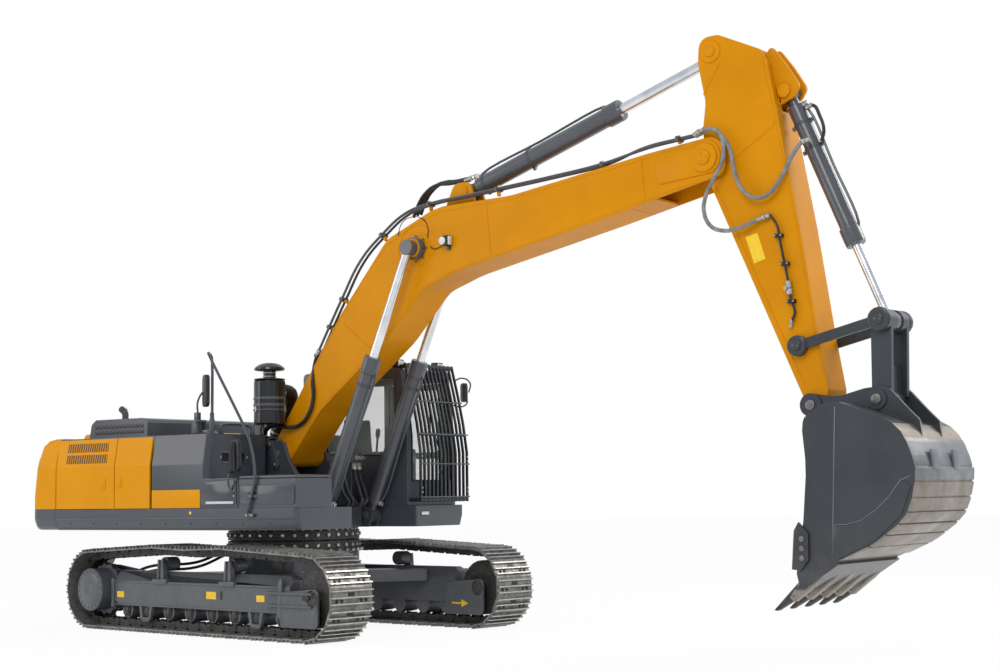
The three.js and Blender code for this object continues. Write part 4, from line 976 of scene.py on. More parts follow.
def fit_tank():
    parts = [
        # step pad in its slot, raised rim round the filler, seam and drain
        block((-0.1, -1.22, 1.996), (-0.012, -0.86, 2.008), Finish.plastic, 0.003),
        block((-0.11, -1.24, 2.106), (0.006, -0.84, 2.118), Finish.tank, 0.004),
        block((-0.11, -1.24, 1.985), (0.006, -0.84, 1.997), Finish.tank, 0.004),
        block((-0.004, -0.752, 1.83), (0.004, -0.744, 2.32), Finish.tank, 0.002),
    ]
    parts += bolts([(-0.004, y, 2.055) for y in (-1.26, -0.82)], (1, 0, 0), 0.014, Finish.zinc, 0.012)
    parts.append(turned((-0.29, -1.3, 2.33), UP, [(0.095, 0), (0.095, 0.012), (0.07, 0.02)], Finish.tank, 24))
    parts.append(turned((-0.29, -1.3, 2.46), UP, [(0.062, 0), (0.068, 0.006), (0.068, 0.02), (0.05, 0.03)],
        Finish.black, 20))
    # lower foot: dark panel with a curved top edge, and the pale blank strip
    foot = [(-0.105, 1.5), (0.47, 1.5), (0.47, 1.74), (0.42, 1.785), (0.2, 1.775), (-0.02, 1.765), (-0.07, 1.74),
        (-0.105, 1.7)]
    parts.append(side_plate(foot, -1.478, -1.468, Finish.tank, 0.003))
    lean_in(gather("tank_fittings", parts, "upper"))
    gather("tank_blank_strip", [block((-0.02, -1.4805, 1.512), (0.42, -1.4775, 1.54), Finish.pale, 0.001)],
        "upper")
    # a thin tube a shade lighter than the tool box door traces its outline: a painted highlight along the door's edge
    rim = [(0.53, -1.4775, 1.505), (1.34, -1.4775, 1.505), (1.36, -1.4775, 1.525), (1.36, -1.4775, 1.7),
        (1.34, -1.4775, 1.72), (0.53, -1.4775, 1.72), (0.51, -1.4775, 1.7), (0.51, -1.4775, 1.525),
        (0.53, -1.4775, 1.505)]
    box = [(0.53, 1.505), (1.34, 1.505), (1.36, 1.525), (1.36, 1.7), (1.34, 1.72), (0.53, 1.72), (0.51, 1.7),
        (0.51, 1.525)]
    door = [side_plate(box, -1.477, -1.468, Finish.slate, 0.004)]
    for z in (1.565, 1.63):
        door.append(side_plate([(0.65, z - 0.013), (0.79, z - 0.013), (0.8, z), (0.79, z + 0.013),
            (0.65, z + 0.013), (0.64, z)], -1.4795, -1.476, Finish.plastic, 0.001))
    door += bolts([(0.68, -1.477, 1.597), (0.76, -1.477, 1.597)], TO_RIGHT, 0.01, Finish.zinc, 0.006)
    # the lighter outline tube: painted highlight on the door's edge
    door.append(hose(rim, 0.005, Finish.ram, steps=1, sides=1, straight=True))
    gather("tool_box_door", door, "upper")
    # non-slip plate on the lid
    pads = [block((0.53, -1.44, 1.825), (1.36, -0.91, 1.832), Finish.plastic, 0.003)]
    gather("lid_tread", pads, "lid")


def fit_rails():
    """The boarding rail and the mirrors on the right side."""
    rail = [(-0.1, -1.3, 2.335), (-0.1, -1.3, 3.16), (-0.08, -1.33, 3.23), (-0.02, -1.43, 3.265),
        (0.035, -1.49, 3.25), (0.66, -1.5, 2.31), (0.7, -1.5, 2.22), (0.78, -1.5, 1.84), (0.77, -1.5, 1.75),
        (0.67, -1.5, 1.44), (0.66, -1.495, 1.4), (0.69, -1.475, 1.38)]
    parts = [hose(rail, 0.017, Finish.slate, steps=5), turned((-0.1, -1.3, 2.33), UP,
        [(0.075, 0), (0.075, 0.012), (0.034, 0.03), (0.034, 0.16), (0.026, 0.18), (0.026, 0.24), (0.018, 0.25)],
        Finish.slate, 20), block((0.63, -1.5, 1.36), (0.76, -1.465, 1.4), Finish.slate, 0.004)]
    parts += bolts([(0.655, -1.5, 1.38), (0.735, -1.5, 1.38)], TO_RIGHT, 0.014, Finish.zinc, 0.012)
    # low rail across the tank's top
    parts.append(hose([(-0.14, -0.62, 2.335), (-0.14, -0.62, 2.42), (-0.16, -0.66, 2.44), (-0.16, -1.08, 2.44),
        (-0.14, -1.12, 2.42), (-0.14, -1.12, 2.335)], 0.014, Finish.slate, steps=4))
    gather("boarding_rail", parts, "upper")

    def mirror(centre, wide, tall, aim, thick=0.05):
        """A rounded mirror body with its glass, looking along aim."""
        body = block((-thick / 2, -wide / 2, -tall / 2), (thick / 2, wide / 2, tall / 2), Finish.plastic, 0)
        with editing(body) as mesh:
            bpy.ops.mesh.select_mode(type="EDGE")
            for edge in mesh.edges:
                a, b = (vertex.co for vertex in edge.verts)
                edge.select_set(abs(a.x - b.x) > thick / 2)
            bmesh.update_edit_mesh(body.data)
            bpy.ops.mesh.bevel(offset=wide * 0.35, segments=5, affect="EDGES")
            select_every()
            bpy.ops.mesh.bevel(offset=0.008, segments=2, affect="EDGES", clamp_overlap=True)
        pane = block((thick / 2 - 0.002, -wide * 0.4, -tall * 0.43), (thick / 2 + 0.002, wide * 0.4, tall * 0.43),
            Finish.chrome, 0.001)
        turn = Matrix.Translation(centre) @ Matrix.Rotation(math.radians(aim), 4, "Z")
        for piece in (body, pane):
            piece.data.transform(turn)
        return [body, pane]

    upper = [mirror((-0.2, -1.3, 2.84), 0.18, 0.38, 60), hose([(-0.33, -1.3, 2.56), (-0.34, -1.3, 2.7),
        (-0.3, -1.3, 2.78), (-0.26, -1.3, 2.82)], 0.012, Finish.slate), block((-0.4, -1.34, 2.33),
        (-0.25, -1.24, 2.5), Finish.slate, 0.006), block((-0.37, -1.33, 2.49), (-0.31, -1.27, 2.59), Finish.slate,
        0.006), block((-0.24, -1.33, 2.33), (-0.12, -1.24, 2.38), Finish.slate, 0.006)]
    gather("mirror_upper_right", upper, "upper")
    lower = [mirror((0.46, -1.55, 2.04), 0.15, 0.36, 50), mirror((0.52, -1.53, 2.06), 0.15, 0.36, 80),
        hose([(0.42, -1.55, 1.86), (0.4, -1.54, 1.76), (0.39, -1.51, 1.7), (0.43, -1.48, 1.64)], 0.012,
        Finish.slate)]
    lower += bolts([(0.43, -1.474, 1.6), (0.43, -1.474, 1.66)], TO_RIGHT, 0.012, Finish.zinc, 0.01)
    gather("mirror_lower_right", lower, "upper")
    left = [mirror((1.42, 1.6, 2.86), 0.14, 0.24, 60), hose([(1.33, 1.5, 3.0), (1.42, 1.56, 3.04),
        (1.5, 1.62, 2.98), (1.48, 1.62, 2.86)], 0.01, Finish.slate), hose([(1.33, 1.5, 2.7), (1.4, 1.55, 2.68),
        (1.46, 1.6, 2.72), (1.46, 1.61, 2.8)], 0.01, Finish.slate)]
    gather("mirror_cab", left, "upper")


def fit_air_cleaner():
    x, y = 0.03, -0.462
    parts = []
    for low, high, radius in ((2.755, 2.785, 0.196), (2.675, 2.705, 0.196), (2.622, 2.638, 0.199)):
        parts.append(turned((x, y, 0), UP, [(radius - 0.01, low - 0.004), (radius, low), (radius, high),
            (radius - 0.01, high + 0.004)], Finish.ram, 40))
    for angle in (20, 140, 260):
        spot = Vector((x + 0.2 * math.cos(math.radians(angle)), y + 0.2 * math.sin(math.radians(angle)), 2.6))
        parts.append(block(spot - Vector((0.012, 0.012, 0)), spot + Vector((0.012, 0.012, 0.07)), Finish.zinc,
            0.003))
    for low in (3.028, 3.07):
        parts.append(turned((x, y, low), UP, [(0.074, 0), (0.08, 0.002), (0.08, 0.012), (0.074, 0.014)],
            Finish.zinc, 32))
    parts.append(turned((x, y, 3.095), UP, [(0.09, 0), (0.172, 0.012), (0.186, 0.02), (0.18, 0.045), (0.14, 0.078),
        (0.08, 0.1), (0.03, 0.106)], Finish.black, 40))
    parts.append(turned((x, y, 2.99), UP, [(0.186, 0), (0.19, 0.006), (0.186, 0.016), (0.15, 0.022), (0.08, 0.03)],
        Finish.black, 40))
    gather("air_cleaner_bands", parts, "upper", crease=28)
    duct = [hose([(0.03, -0.33, 2.86), (0.05, -0.2, 2.87), (0.03, -0.08, 2.83), (-0.06, -0.02, 2.72),
        (-0.16, 0, 2.56), (-0.26, 0, 2.42), (-0.3, 0, 2.33)], 0.082, Finish.hose, sides=6)]
    for a, b in (((0.035, -0.275, 2.864), (0.037, -0.25, 2.866)), ((-0.275, 0, 2.39), (-0.285, 0, 2.37))):
        duct.append(rod(a, b, 0.089, Finish.zinc, width=0.002, sides=28))
    gather("air_duct", duct, "upper")
    cap = [turned((-0.9, -0.66, 2.33), UP, [(0.05, 0), (0.05, 0.05), (0.03, 0.06)], Finish.house, 20),
        turned((-0.9, -0.66, 2.385), UP, [(0.018, 0), (0.018, 0.04), (0.01, 0.045)], Finish.zinc, 12)]
    gather("hood_latch_post", cap, "upper")


# ---------------------------------------------------------------- boom, arm and bucket fittings


def clamp(spot, along, width, finish, tall=0.05):
    """A pipe clamp: two half blocks with a bolt between, on a short yellow post."""
    along = Vector(along).normalized()
    side = Vector((0, 1, 0))
    up = side.cross(along).normalized() * -1
    if up.z < 0:
        up = -up
    spot = Vector(spot)
    turn = Matrix((along, side, up)).transposed().to_4x4()
    turn.translation = spot
    body = block((-0.022, -width / 2, -0.028), (0.022, width / 2, 0.028), finish, 0.006)
    post = block((-0.015, -0.02, -tall - 0.028), (0.015, 0.02, -0.026), Finish.yellow, 0.003)
    head = turned((0, 0, 0.028), UP, [(0.012, 0), (0.012, 0.012), (0.009, 0.016)], Finish.zinc, 6)
    for piece in (body, post, head):
        piece.data.transform(turn)
    return [body, post, head]


def ferrule(a, b, radius):
    """A crimped ferrule with its nut, from a towards b."""
    a, b = Vector(a), Vector(b)
    along = (b - a).normalized()
    return turned(a, along, [(radius * 0.9, 0), (radius * 1.25, 0.004), (radius * 1.25, 0.045), (radius, 0.05),
        (radius * 1.45, 0.052), (radius * 1.45, 0.08), (radius, 0.085)], Finish.zinc, 12)


def wrapped(points, radius, finish, pitch=0.035):
    """A hose in its spiral guard: the tube, and a raised spiral round it."""
    tube = hose(points, radius, finish, steps=10, sides=3)
    path = [Vector(p) for p in points]
    smooth = []
    for i in range(len(path) - 1):
        p0, p1 = path[max(i - 1, 0)], path[i]
        p2, p3 = path[i + 1], path[min(i + 2, len(path) - 1)]
        for k in range(12):
            t = k / 12
            smooth.append(0.5 * (2 * p1 + (p2 - p0) * t + (2 * p0 - 5 * p1 + 4 * p2 - p3) * t * t
                + (3 * p1 - p0 - 3 * p2 + p3) * t ** 3))
    smooth.append(path[-1])
    coil, phase = [], 0.0
    for a, b in zip(smooth, smooth[1:]):
        along = b - a
        if along.length < 1e-6:
            continue
        across = along.orthogonal().normalized()
        count = max(1, round(along.length / pitch * 6))
        for k in range(count):
            phase += 2 * math.pi * along.length / count / pitch
            coil.append(a + along * k / count + Matrix.Rotation(phase, 3, along) @ across * radius)
    return [tube, hose(coil, radius * 0.2, finish, steps=1, sides=0, straight=True)]


def fit_boom():
    seams = []
    # weld beads: across the side plates, along the edges, and round the doubler at the elbow
    for side in (-1, 1):
        face = side * 0.2655
        for line in ([(1.06, 3.62), (1.45, 3.32), (1.62, 3.36)], [(3.17, 4.86), (3.22, 4.26)],
                [(5.2, 5.1), (5.24, 4.66)]):
            seams.append(weld(upright(line, face), 0.006, Finish.yellow))
        doubler = [(5.4, 5.09), (5.37, 4.84), (5.43, 4.79), (6.0, 4.84)] + arc(ELBOW, 0.19, -60, 80,
            9) + [(5.9, 5.13), (5.45, 5.12)]
        seams.append(side_plate(doubler, face - side * 0.001, face + side * 0.012, Finish.yellow, 0.003))
        seams.append(turned(beside(ELBOW, face), (0, side, 0), [(0.155, 0.01), (0.15, 0.028), (0.09, 0.03)],
            Finish.yellow, 32))
        seams.append(turned(beside(ELBOW, side * 0.299), (0, side, 0), [(0.075, 0), (0.075, 0.008), (0.06, 0.014)],
            Finish.yellow, 28))
        seams += bolts([(5.96 + 0.045 * c, side * 0.312, 5.01 + 0.045 * s) for c,
            s in ((1, 0), (-0.5, 0.87), (-0.5, -0.87))], (0, side, 0), 0.012, Finish.yellow, 0.008)
        seams.append(turned(beside(LIFT_EYE, face), (0, side, 0), [(0.2, -0.001), (0.19, 0.012), (0.15, 0.016)],
            Finish.yellow, 32))
        ring = arc(LIFT_EYE, 0.28, 20, 250, 20)
        seams.append(weld(upright(ring, face), 0.005, Finish.yellow))
        seams.append(turned(beside(CROWD_BASE, side * 0.1165), (0, side, 0),
            [(0.075, 0), (0.075, 0.012), (0.055, 0.016)], Finish.yellow, 24))
        low_edge = [(0.75, 2.68), (1.72, 3.43), (2.25, 3.95), (2.5, 4.04), (2.9, 4.15), (3.6, 4.28), (4.7, 4.51),
            (5.9, 4.76)]
        seams.append(weld([(x, face - side * 0.002, z + 0.02) for x, z in low_edge], 0.006, Finish.yellow))
        top_edge = [(0.55, 3.1), (1.0, 3.72), (1.35, 4.14), (1.72, 4.52), (2.1, 4.71), (2.5, 4.83), (3.5, 4.87),
            (5.3, 5.11)]
        seams.append(weld([(x, face - side * 0.002, z - 0.02) for x, z in top_edge], 0.006, Finish.yellow))
    for x, z in ((3.05, 4.187), (5.05, 4.578)):
        seams.append(block((x - 0.006, -0.25, z - 0.006), (x + 0.006, 0.25, z + 0.002), Finish.yellow, 0.002))
    gather("boom_welds", seams, "boom")
    # dark sleeves behind the rod eyes
    caps = []
    for side in (-1, 1):
        caps.append(turned(beside(LIFT_EYE, side * 0.272), (0, side, 0), [(0.125, 0), (0.128, 0.01), (0.128, 0.09),
            (0.12, 0.1)], Finish.ram, 36))
        caps += bolt_ring(beside(LIFT_EYE, side * 0.3), (0, side, 0), 0.15, 0.012, Finish.ram, 8, 0.01)
    gather("boom_cylinder_sleeves", caps, "boom")
    # steel pipes down the back and along the top, in pairs, with their clamps
    pipes = []
    back = [(0.6, 3.27), (0.8, 3.6), (1.0, 3.92), (1.3, 4.36), (1.62, 4.63), (1.98, 4.85), (2.33, 4.925),
        (2.86, 4.96), (3.3, 4.99), (4.1, 5.045), (4.7, 5.1), (5.3, 5.2), (5.68, 5.235), (5.86, 5.25)]
    for offset in (-0.245, -0.17, 0.15, 0.215):
        stop = len(back) if offset < 0 else 8
        # both pipes step out beside the fork, clear of the arm's heel
        away = {-0.245: -0.255, -0.17: -0.302}.get(offset, offset)
        pipes.append(hose([(x, away if x > 5.25 else offset, z) for x, z in back[:stop]], 0.016, Finish.slate,
            steps=6))
    for i, (x, z) in enumerate(back):
        if i in (0, 1, 2, 4, 6, 8, 10, 12):
            ahead = Vector((back[i + 1][0] - back[i - 1][0], 0,
                back[i + 1][1] - back[i - 1][1])) if i else Vector((0.2, 0, 0.33))
            pipes += clamp((x, -0.207 if x < 5.25 else -0.279, z), ahead, 0.12, Finish.slate,
                0.05 if x < 5.25 else 0.02)
            if i < 7:
                pipes += clamp((x, 0.187, z), ahead, 0.12, Finish.slate)
    gather("boom_pipes", pipes, "boom")
    # hoses up to the arm cylinder, bending where the cylinder tilts
    for number, (offset, rise) in enumerate(((0.02, 0.0), (0.09, 0.02), (-0.05, -0.03))):
        line = [(1.95, offset, 4.86 + rise), (2.02, offset, 5.0 + rise), (2.12, offset, 5.12 + rise),
            (2.28, offset, 5.2 + rise), (2.5, offset * 0.9, 5.2 + rise), (2.7, offset * 0.8, 5.21 + rise)]
        bunch = gather(f"saddle_hose_{number + 1}", [hose(line, 0.02, Finish.hose),
            ferrule(line[-1], (2.8, offset * 0.8, 5.22 + rise), 0.02)], "boom")
        bunch.parent = None
        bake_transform(bunch)
    # work lamp with its wire
    lamp = [block((2.6, -0.35, 4.4), (2.68, -0.28, 4.52), Finish.plastic, 0.012),
        block((2.672, -0.345, 4.41), (2.69, -0.285, 4.51), Finish.lens, 0.006),
        block((2.62, -0.3, 4.36), (2.66, -0.262, 4.41), Finish.slate, 0.004),
        turned((2.6, -0.352, 4.46), TO_RIGHT, [(0.045, -0.004), (0.045, 0.004), (0.03, 0.008)], Finish.lens, 20),
        hose([(1.89, -0.272, 4.6), (1.96, -0.274, 4.74), (2.08, -0.274, 4.79), (2.25, -0.272, 4.76),
        (2.33, -0.272, 4.66), (2.34, -0.272, 4.48), (2.41, -0.274, 4.395), (2.5, -0.275, 4.4), (2.6, -0.3, 4.45)],
        0.005, Finish.hose, sides=1)]
    gather("boom_lamp", lamp, "boom")
    # hoses at the foot, from the house to the boom's back pipes
    for number, (start, offset) in enumerate(((-0.35, -0.245), (-0.3, -0.17), (0.24, 0.15), (0.3, 0.215))):
        sign = 1 if start > 0 else -1
        line = [(-0.22, start, 2.33), (-0.14, start, 2.42), (0.02, start, 2.45), (0.2, start, 2.42),
            (0.36, sign * 0.3, 2.44), (0.5, sign * 0.3, 2.55), (0.58, sign * 0.29, 2.75), (0.56, sign * 0.27, 3.0),
            (0.56, offset, 3.15), (0.6, offset, 3.27)]
        foot = gather(f"foot_hose_{number + 1}", [hose(line, 0.022, Finish.hose),
            ferrule(line[-1], (0.7, offset, 3.43), 0.02)], "boom")
        foot.parent = None
        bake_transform(foot)


def fit_elbow_hoses():
    """The two hoses that hang in loops across the elbow, in their spiral guards."""
    line_a = [(5.86, -0.255, 5.25), (5.96, -0.27, 5.285), (6.09, -0.31, 5.285), (6.22, -0.32, 5.17),
        (6.3, -0.32, 5.0), (6.33, -0.32, 4.81), (6.42, -0.31, 4.61), (6.56, -0.3, 4.52), (6.7, -0.29, 4.55),
        (6.84, -0.27, 4.72), (6.94, -0.24, 4.91), (7.02, -0.2, 5.04), (7.09, -0.16, 5.07)]
    line_b = [(5.86, -0.302, 5.25), (5.98, -0.305, 5.3), (6.12, -0.3, 5.27), (6.22, -0.33, 5.11),
        (6.2, -0.34, 4.92), (6.1, -0.34, 4.76), (6.01, -0.34, 4.6), (5.98, -0.34, 4.45), (6.04, -0.33, 4.29),
        (6.18, -0.32, 4.22), (6.35, -0.3, 4.23), (6.55, -0.27, 4.3), (6.68, -0.25, 4.34)]
    for name, line in (("a", line_a), ("b", line_b)):
        parts = [wrapped(line[1:-1], 0.021, Finish.sleeve), hose(line[:2], 0.02, Finish.zinc),
            hose(line[-2:], 0.02, Finish.zinc), ferrule(line[0], line[1], 0.021),
            ferrule(line[-1], line[-2], 0.021)]
        piece = gather(f"elbow_hose_{name}", parts, "boom")
        piece.parent = None
        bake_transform(piece)


def fit_arm():
    parts = []
    for side in (-1, 1):
        face = side * 0.2155
        parts.append(turned(beside(ELBOW, side * 0.236), (0, side, 0), [(0.16, -0.03), (0.16, -0.001)],
            Finish.yellow, 32))
        # doubler of the perch, flange beads down both edges, and a cross bead
        for line in ([(6.63, 5.98), (6.66, 5.75), (6.76, 5.32), (6.72, 5.24)], [(5.94, 5.68), (6.14, 5.98)],
                [(6.06, 4.83), (6.72, 5.24)], [(6.99, 2.62), (6.3, 4.17), (6.04, 4.75), (5.98, 5.25)],
                [(7.2, 2.72), (7.12, 3.1), (6.96, 4.2), (6.76, 5.28)]):
            parts.append(weld(upright(line, face), 0.006, Finish.yellow))
        parts.append(turned(beside(LINK_PIN, side * 0.222), (0, side, 0), [(0.13, -0.008), (0.125, 0.002)],
            Finish.yellow, 28))
        parts.append(turned(beside(CURL_BASE, side * 0.1208), (0, side, 0),
            [(0.07, 0.008), (0.07, 0.022), (0.05, 0.026)], Finish.yellow, 24))
        parts.append(turned(beside(CROWD_EYE, face), (0, side, 0), [(0.12, -0.001), (0.115, 0.012), (0.07, 0.014)],
            Finish.yellow, 28))
        parts.append(turned(beside(CROWD_EYE, side * 0.228), (0, side, 0),
            [(0.055, 0), (0.055, 0.012), (0.045, 0.016)], Finish.yellow, 20))
    gather("arm_welds", parts, "arm")
    sticker = side_plate([(6.385, 4.145), (6.52, 4.175), (6.605, 3.905), (6.475, 3.865)], -0.2185, -0.2155,
        Finish.sticker, 0)
    gather("arm_sticker", [sticker], "arm")
    line = [(6.68, 4.34), (6.75, 4.24), (6.785, 4.06), (6.815, 3.9), (6.85, 3.72), (6.865, 3.62), (6.885, 3.46)]
    pipe = [hose(upright(line, -0.25), 0.013, Finish.plastic, steps=6), hose([(6.885, -0.25, 3.46),
        (6.92, -0.25, 3.38), (6.925, -0.25, 3.33), (6.89, -0.25, 3.25)], 0.014, Finish.hose)]
    pipe.append(turned((6.862, -0.25, 3.66), (0.12, 0, -1), [(0.018, 0), (0.03, 0.01), (0.03, 0.07), (0.022, 0.08),
        (0.032, 0.09), (0.032, 0.14), (0.018, 0.15)], Finish.zinc, 14))
    pipe.append(turned((6.85, -0.27, 3.58), TO_RIGHT, [(0.014, 0), (0.014, 0.02), (0.02, 0.022), (0.02, 0.034)],
        Finish.zinc, 12))
    pipe.append(ferrule((6.89, -0.25, 3.27), (6.875, -0.25, 3.2), 0.014))
    for x, z in ((6.77, 4.12), (6.832, 3.83), (6.888, 3.45)):
        pipe.append(block((x - 0.045, -0.268, z - 0.018), (x + 0.045, -0.216, z + 0.018), Finish.plastic, 0.005))
        pipe += bolts([(x - 0.032, -0.268, z), (x + 0.032, -0.268, z)], TO_RIGHT, 0.01, Finish.zinc, 0.008)
    gather("arm_pipe", pipe, "arm")


def fit_cylinders():
    """Gland nuts, bolts, ports, side pipes and straps of the cylinders."""

    def dress_ram(name, body, base, pin, offset, radius, length, pipe_side, straps):
        base, pin = Vector((base[0], offset, base[1])), Vector((pin[0], offset, pin[1]))
        along = (pin - base).normalized()
        lift = Vector((0, 1, 0)).cross(along) * pipe_side
        gland = base + along * length
        parts = [turned(gland, along, [(radius + 0.004, -0.2), (radius + 0.016, -0.19), (radius + 0.016, -0.024),
            (radius + 0.012, -0.01), (radius - 0.012, -0.004), (radius - 0.02, 0.001)], Finish.ram, 32)]
        parts += bolt_ring(gland - along * 0.014, along, radius + 0.003, 0.009, Finish.plastic, 12, 0.008)
        for share in straps:
            spot = base + along * (length * share)
            band = [Matrix.Rotation(math.radians(20 * i), 3, along) @ lift * (radius + 0.001) for i in range(19)]
            for step in (0.008, 0.02, 0.032):
                parts.append(hose([spot + along * step + point for point in band], 0.008, Finish.ram, steps=1,
                    sides=1, straight=True))
            for sign in (-1, 1):
                lug = spot + along * 0.021 + lift * sign * (radius + 0.02)
                parts.append(rod(lug - along * 0.018, lug + along * 0.018, 0.02, Finish.ram, sides=10))
        start = base + along * 0.2 + lift * (radius + 0.012)
        stop = gland - along * 0.14 + lift * (radius + 0.026)
        pipe = [start - lift * 0.03, start + lift * 0.012 + along * 0.06, start.lerp(stop, 0.5) + lift * 0.01,
            stop - along * 0.06, stop - lift * 0.03]
        parts.append(hose(pipe, 0.014, Finish.slate, steps=5))
        parts.append(turned(base + along * 0.19 + lift * (radius - 0.012), lift,
            [(0.034, 0), (0.034, 0.03), (0.026, 0.034), (0.026, 0.06), (0.018, 0.064)], Finish.zinc, 12))
        gather(name, parts, body)

    for side, name in SIDES:
        dress_ram(f"boom_cylinder_fittings_{name}", f"boom_barrel_{name}", LIFT_BASE, LIFT_EYE, side * 0.435,
            0.088, 1.99, 1, (0.82,))
    dress_ram("arm_cylinder_fittings", "arm_barrel", CROWD_BASE, CROWD_EYE, 0.0, 0.105, 2.2, -1, (0.12, 0.42))
    dress_ram("bucket_cylinder_fittings", "bucket_barrel", CURL_BASE, KNEE, 0.0, 0.088, 1.76, -1, (0.2, 0.36))
    gather("bucket_cylinder_hose", [hose([(7.0, -0.02, 5.42), (7.08, -0.03, 5.44), (7.16, -0.04, 5.32),
        (7.2, -0.04, 5.16), (7.17, -0.04, 5.06)], 0.018, Finish.hose), ferrule((7.0, -0.02, 5.42),
        (7.08, -0.03, 5.45), 0.018)], "bucket_barrel")


def fit_bucket():
    side_face = 0.7205
    parts, edges = [], []
    for side in (-1, 1):
        face = side * side_face
        # the weld beads down each side are a lighter grey than the plate: a painted highlight along the seams
        parts.append(weld([(7.54, face, 2.36), (7.47, face, 0.93)], 0.005, Finish.polished))
        parts.append(weld([(x, face, z) for x, z in ((7.49, 1.25), (7.62, 1.255), (7.76, 1.29), (7.92, 1.39),
            (8.06, 1.52), (8.17, 1.66), (8.27, 1.7))], 0.004, Finish.polished))
        wear = [(7.49, 1.24), (7.62, 1.245), (7.76, 1.28), (7.92, 1.38), (8.06, 1.51), (8.2, 1.66), (8.27, 1.6),
            (8.17, 1.34), (7.88, 1.085), (7.5, 0.915), (7.47, 0.925)]
        parts.append(side_plate(wear, face - side * 0.001, face + side * 0.01, Finish.bucket, 0.003))
        # bolted side cutter
        cutter = [(7.14, 1.28), (7.24, 1.17), (7.235, 0.92), (7.15, 0.82), (7.06, 0.83), (7.09, 1.2)]
        parts.append(side_plate(cutter, face - side * 0.001, face + side * 0.03, Finish.bucket, 0.006))
        parts += bolts([(7.175, face + side * 0.03, z) for z in (1.12, 1.03, 0.94)], (0, side, 0), 0.028,
            Finish.pin, 0.02, 12)
        # ears: bosses, pin heads and their retainers
        for x, z, radius in ((7.08, 2.41, 0.115), (7.77, 2.44, 0.1)):
            parts.append(turned((x, side * 0.264, z), (0, side, 0), [(radius, -0.002), (radius, 0.018),
                (radius * 0.6, 0.02)], Finish.bucket, 28))
            parts.append(turned((x, side * 0.275, z), (0, side, 0), [(0.05, 0.005), (0.05, 0.024), (0.04, 0.028)],
                Finish.pin, 20))
        edges.append(plate([(8.335, side * 0.2, 1.95), (8.345, side * 0.2, 1.76), (8.345, side * 0.34, 1.76),
            (8.335, side * 0.34, 1.95)], (-0.03, 0, -0.002), Finish.polished, 0.006))
    gather("bucket_side_fittings", parts, "bucket")
    # wear strips across the back, following its curve, with a narrow step between them
    mesh = frame["nodes"]["bucket"].data
    tree = BVHTree.FromPolygons([vertex.co for vertex in mesh.vertices], [face.vertices for face in mesh.polygons])
    back = MACHINE.inverted()

    def surface(angle):
        """The bucket's outline met from inside, looking out at an angle below the level."""
        angle = math.radians(angle)
        way = Vector((math.cos(angle), 0, math.sin(angle)))
        spot = tree.ray_cast(MACHINE @ (Vector((7.6, 0.1, 1.75)) + way * 1.4), -way, 1.4)[0]
        return back @ spot if spot else Vector((7.6, 0.1, 1.75)) + way * 0.7

    for start, stop, finish in ((26, 4, Finish.polished), (2.5, -7, Finish.polished), (-8.5, -19, Finish.scoured),
            (-20.5, -30, Finish.scoured), (-31.5, -41, Finish.scoured), (-42.5, -54, Finish.scoured),
            (-55.5, -70, Finish.scoured), (-71.5, -88, Finish.scoured)):
        rim = [surface(start + (stop - start) * i / 6) for i in range(7)]
        thick = 0.004 if start > 20 else 0.014
        ways = [(point - Vector((7.6, 0.1, 1.75))).normalized() for point in rim]
        corners = [(p.x + w.x * thick, p.z + w.z * thick) for p, w in zip(rim, ways)]
        corners += [(p.x - w.x * 0.004, p.z - w.z * 0.004) for p, w in zip(reversed(rim), reversed(ways))]
        edges.append(side_plate(corners, -0.722, 0.722, finish, 0.003))
    gather("bucket_wear_strips", edges, "bucket")
    # tooth adaptors and their pins on the lip
    teeth = []
    for i in range(5):
        y = -0.645 + i * 0.3225
        adaptor = side_plate([(7.0, 0.56), (7.05, 0.52), (7.27, 0.69), (7.38, 0.79), (7.33, 0.83), (7.1, 0.7)],
            y - 0.052, y + 0.052, Finish.scoured, 0.01)
        tip = side_plate([(6.83, 0.438), (6.86, 0.43), (7.03, 0.53), (7.06, 0.58), (7.02, 0.61)], y - 0.047,
            y + 0.047, Finish.chain, 0.012)
        teeth += [adaptor, tip, rod((7.045, y - 0.056, 0.575), (7.045, y + 0.056, 0.575), 0.014, Finish.pin,
            sides=10)]
    gather("bucket_teeth", teeth, "bucket")


def fit_links():
    parts = []
    for side in (-1, 1):
        outer = side * 0.2835
        for x, z, radius in ((6.95, 3.0, 0.1), (7.82, 3.205, 0.112)):
            parts.append(turned((x, outer, z), (0, side, 0), [(radius, -0.002), (radius, 0.012),
                (radius - 0.012, 0.018), (radius - 0.02, 0.018)], Finish.bucket, 28))
            parts.append(turned((x, outer + side * 0.012, z), (0, side, 0), [(0.05, 0), (0.05, 0.016),
                (0.04, 0.02)], Finish.bucket, 20))
            parts += bolts([(x + 0.022, outer + side * 0.03, z), (x - 0.022, outer + side * 0.03, z)],
                (0, side, 0), 0.01, Finish.pin, 0.006)
    gather("side_link_caps", parts, "side_links")


# ---------------------------------------------------------------- cab fittings


def seal(points):
    """A rubber seal along straight lines."""
    return hose(points, 0.012, Finish.plastic, steps=1, sides=1, straight=True)


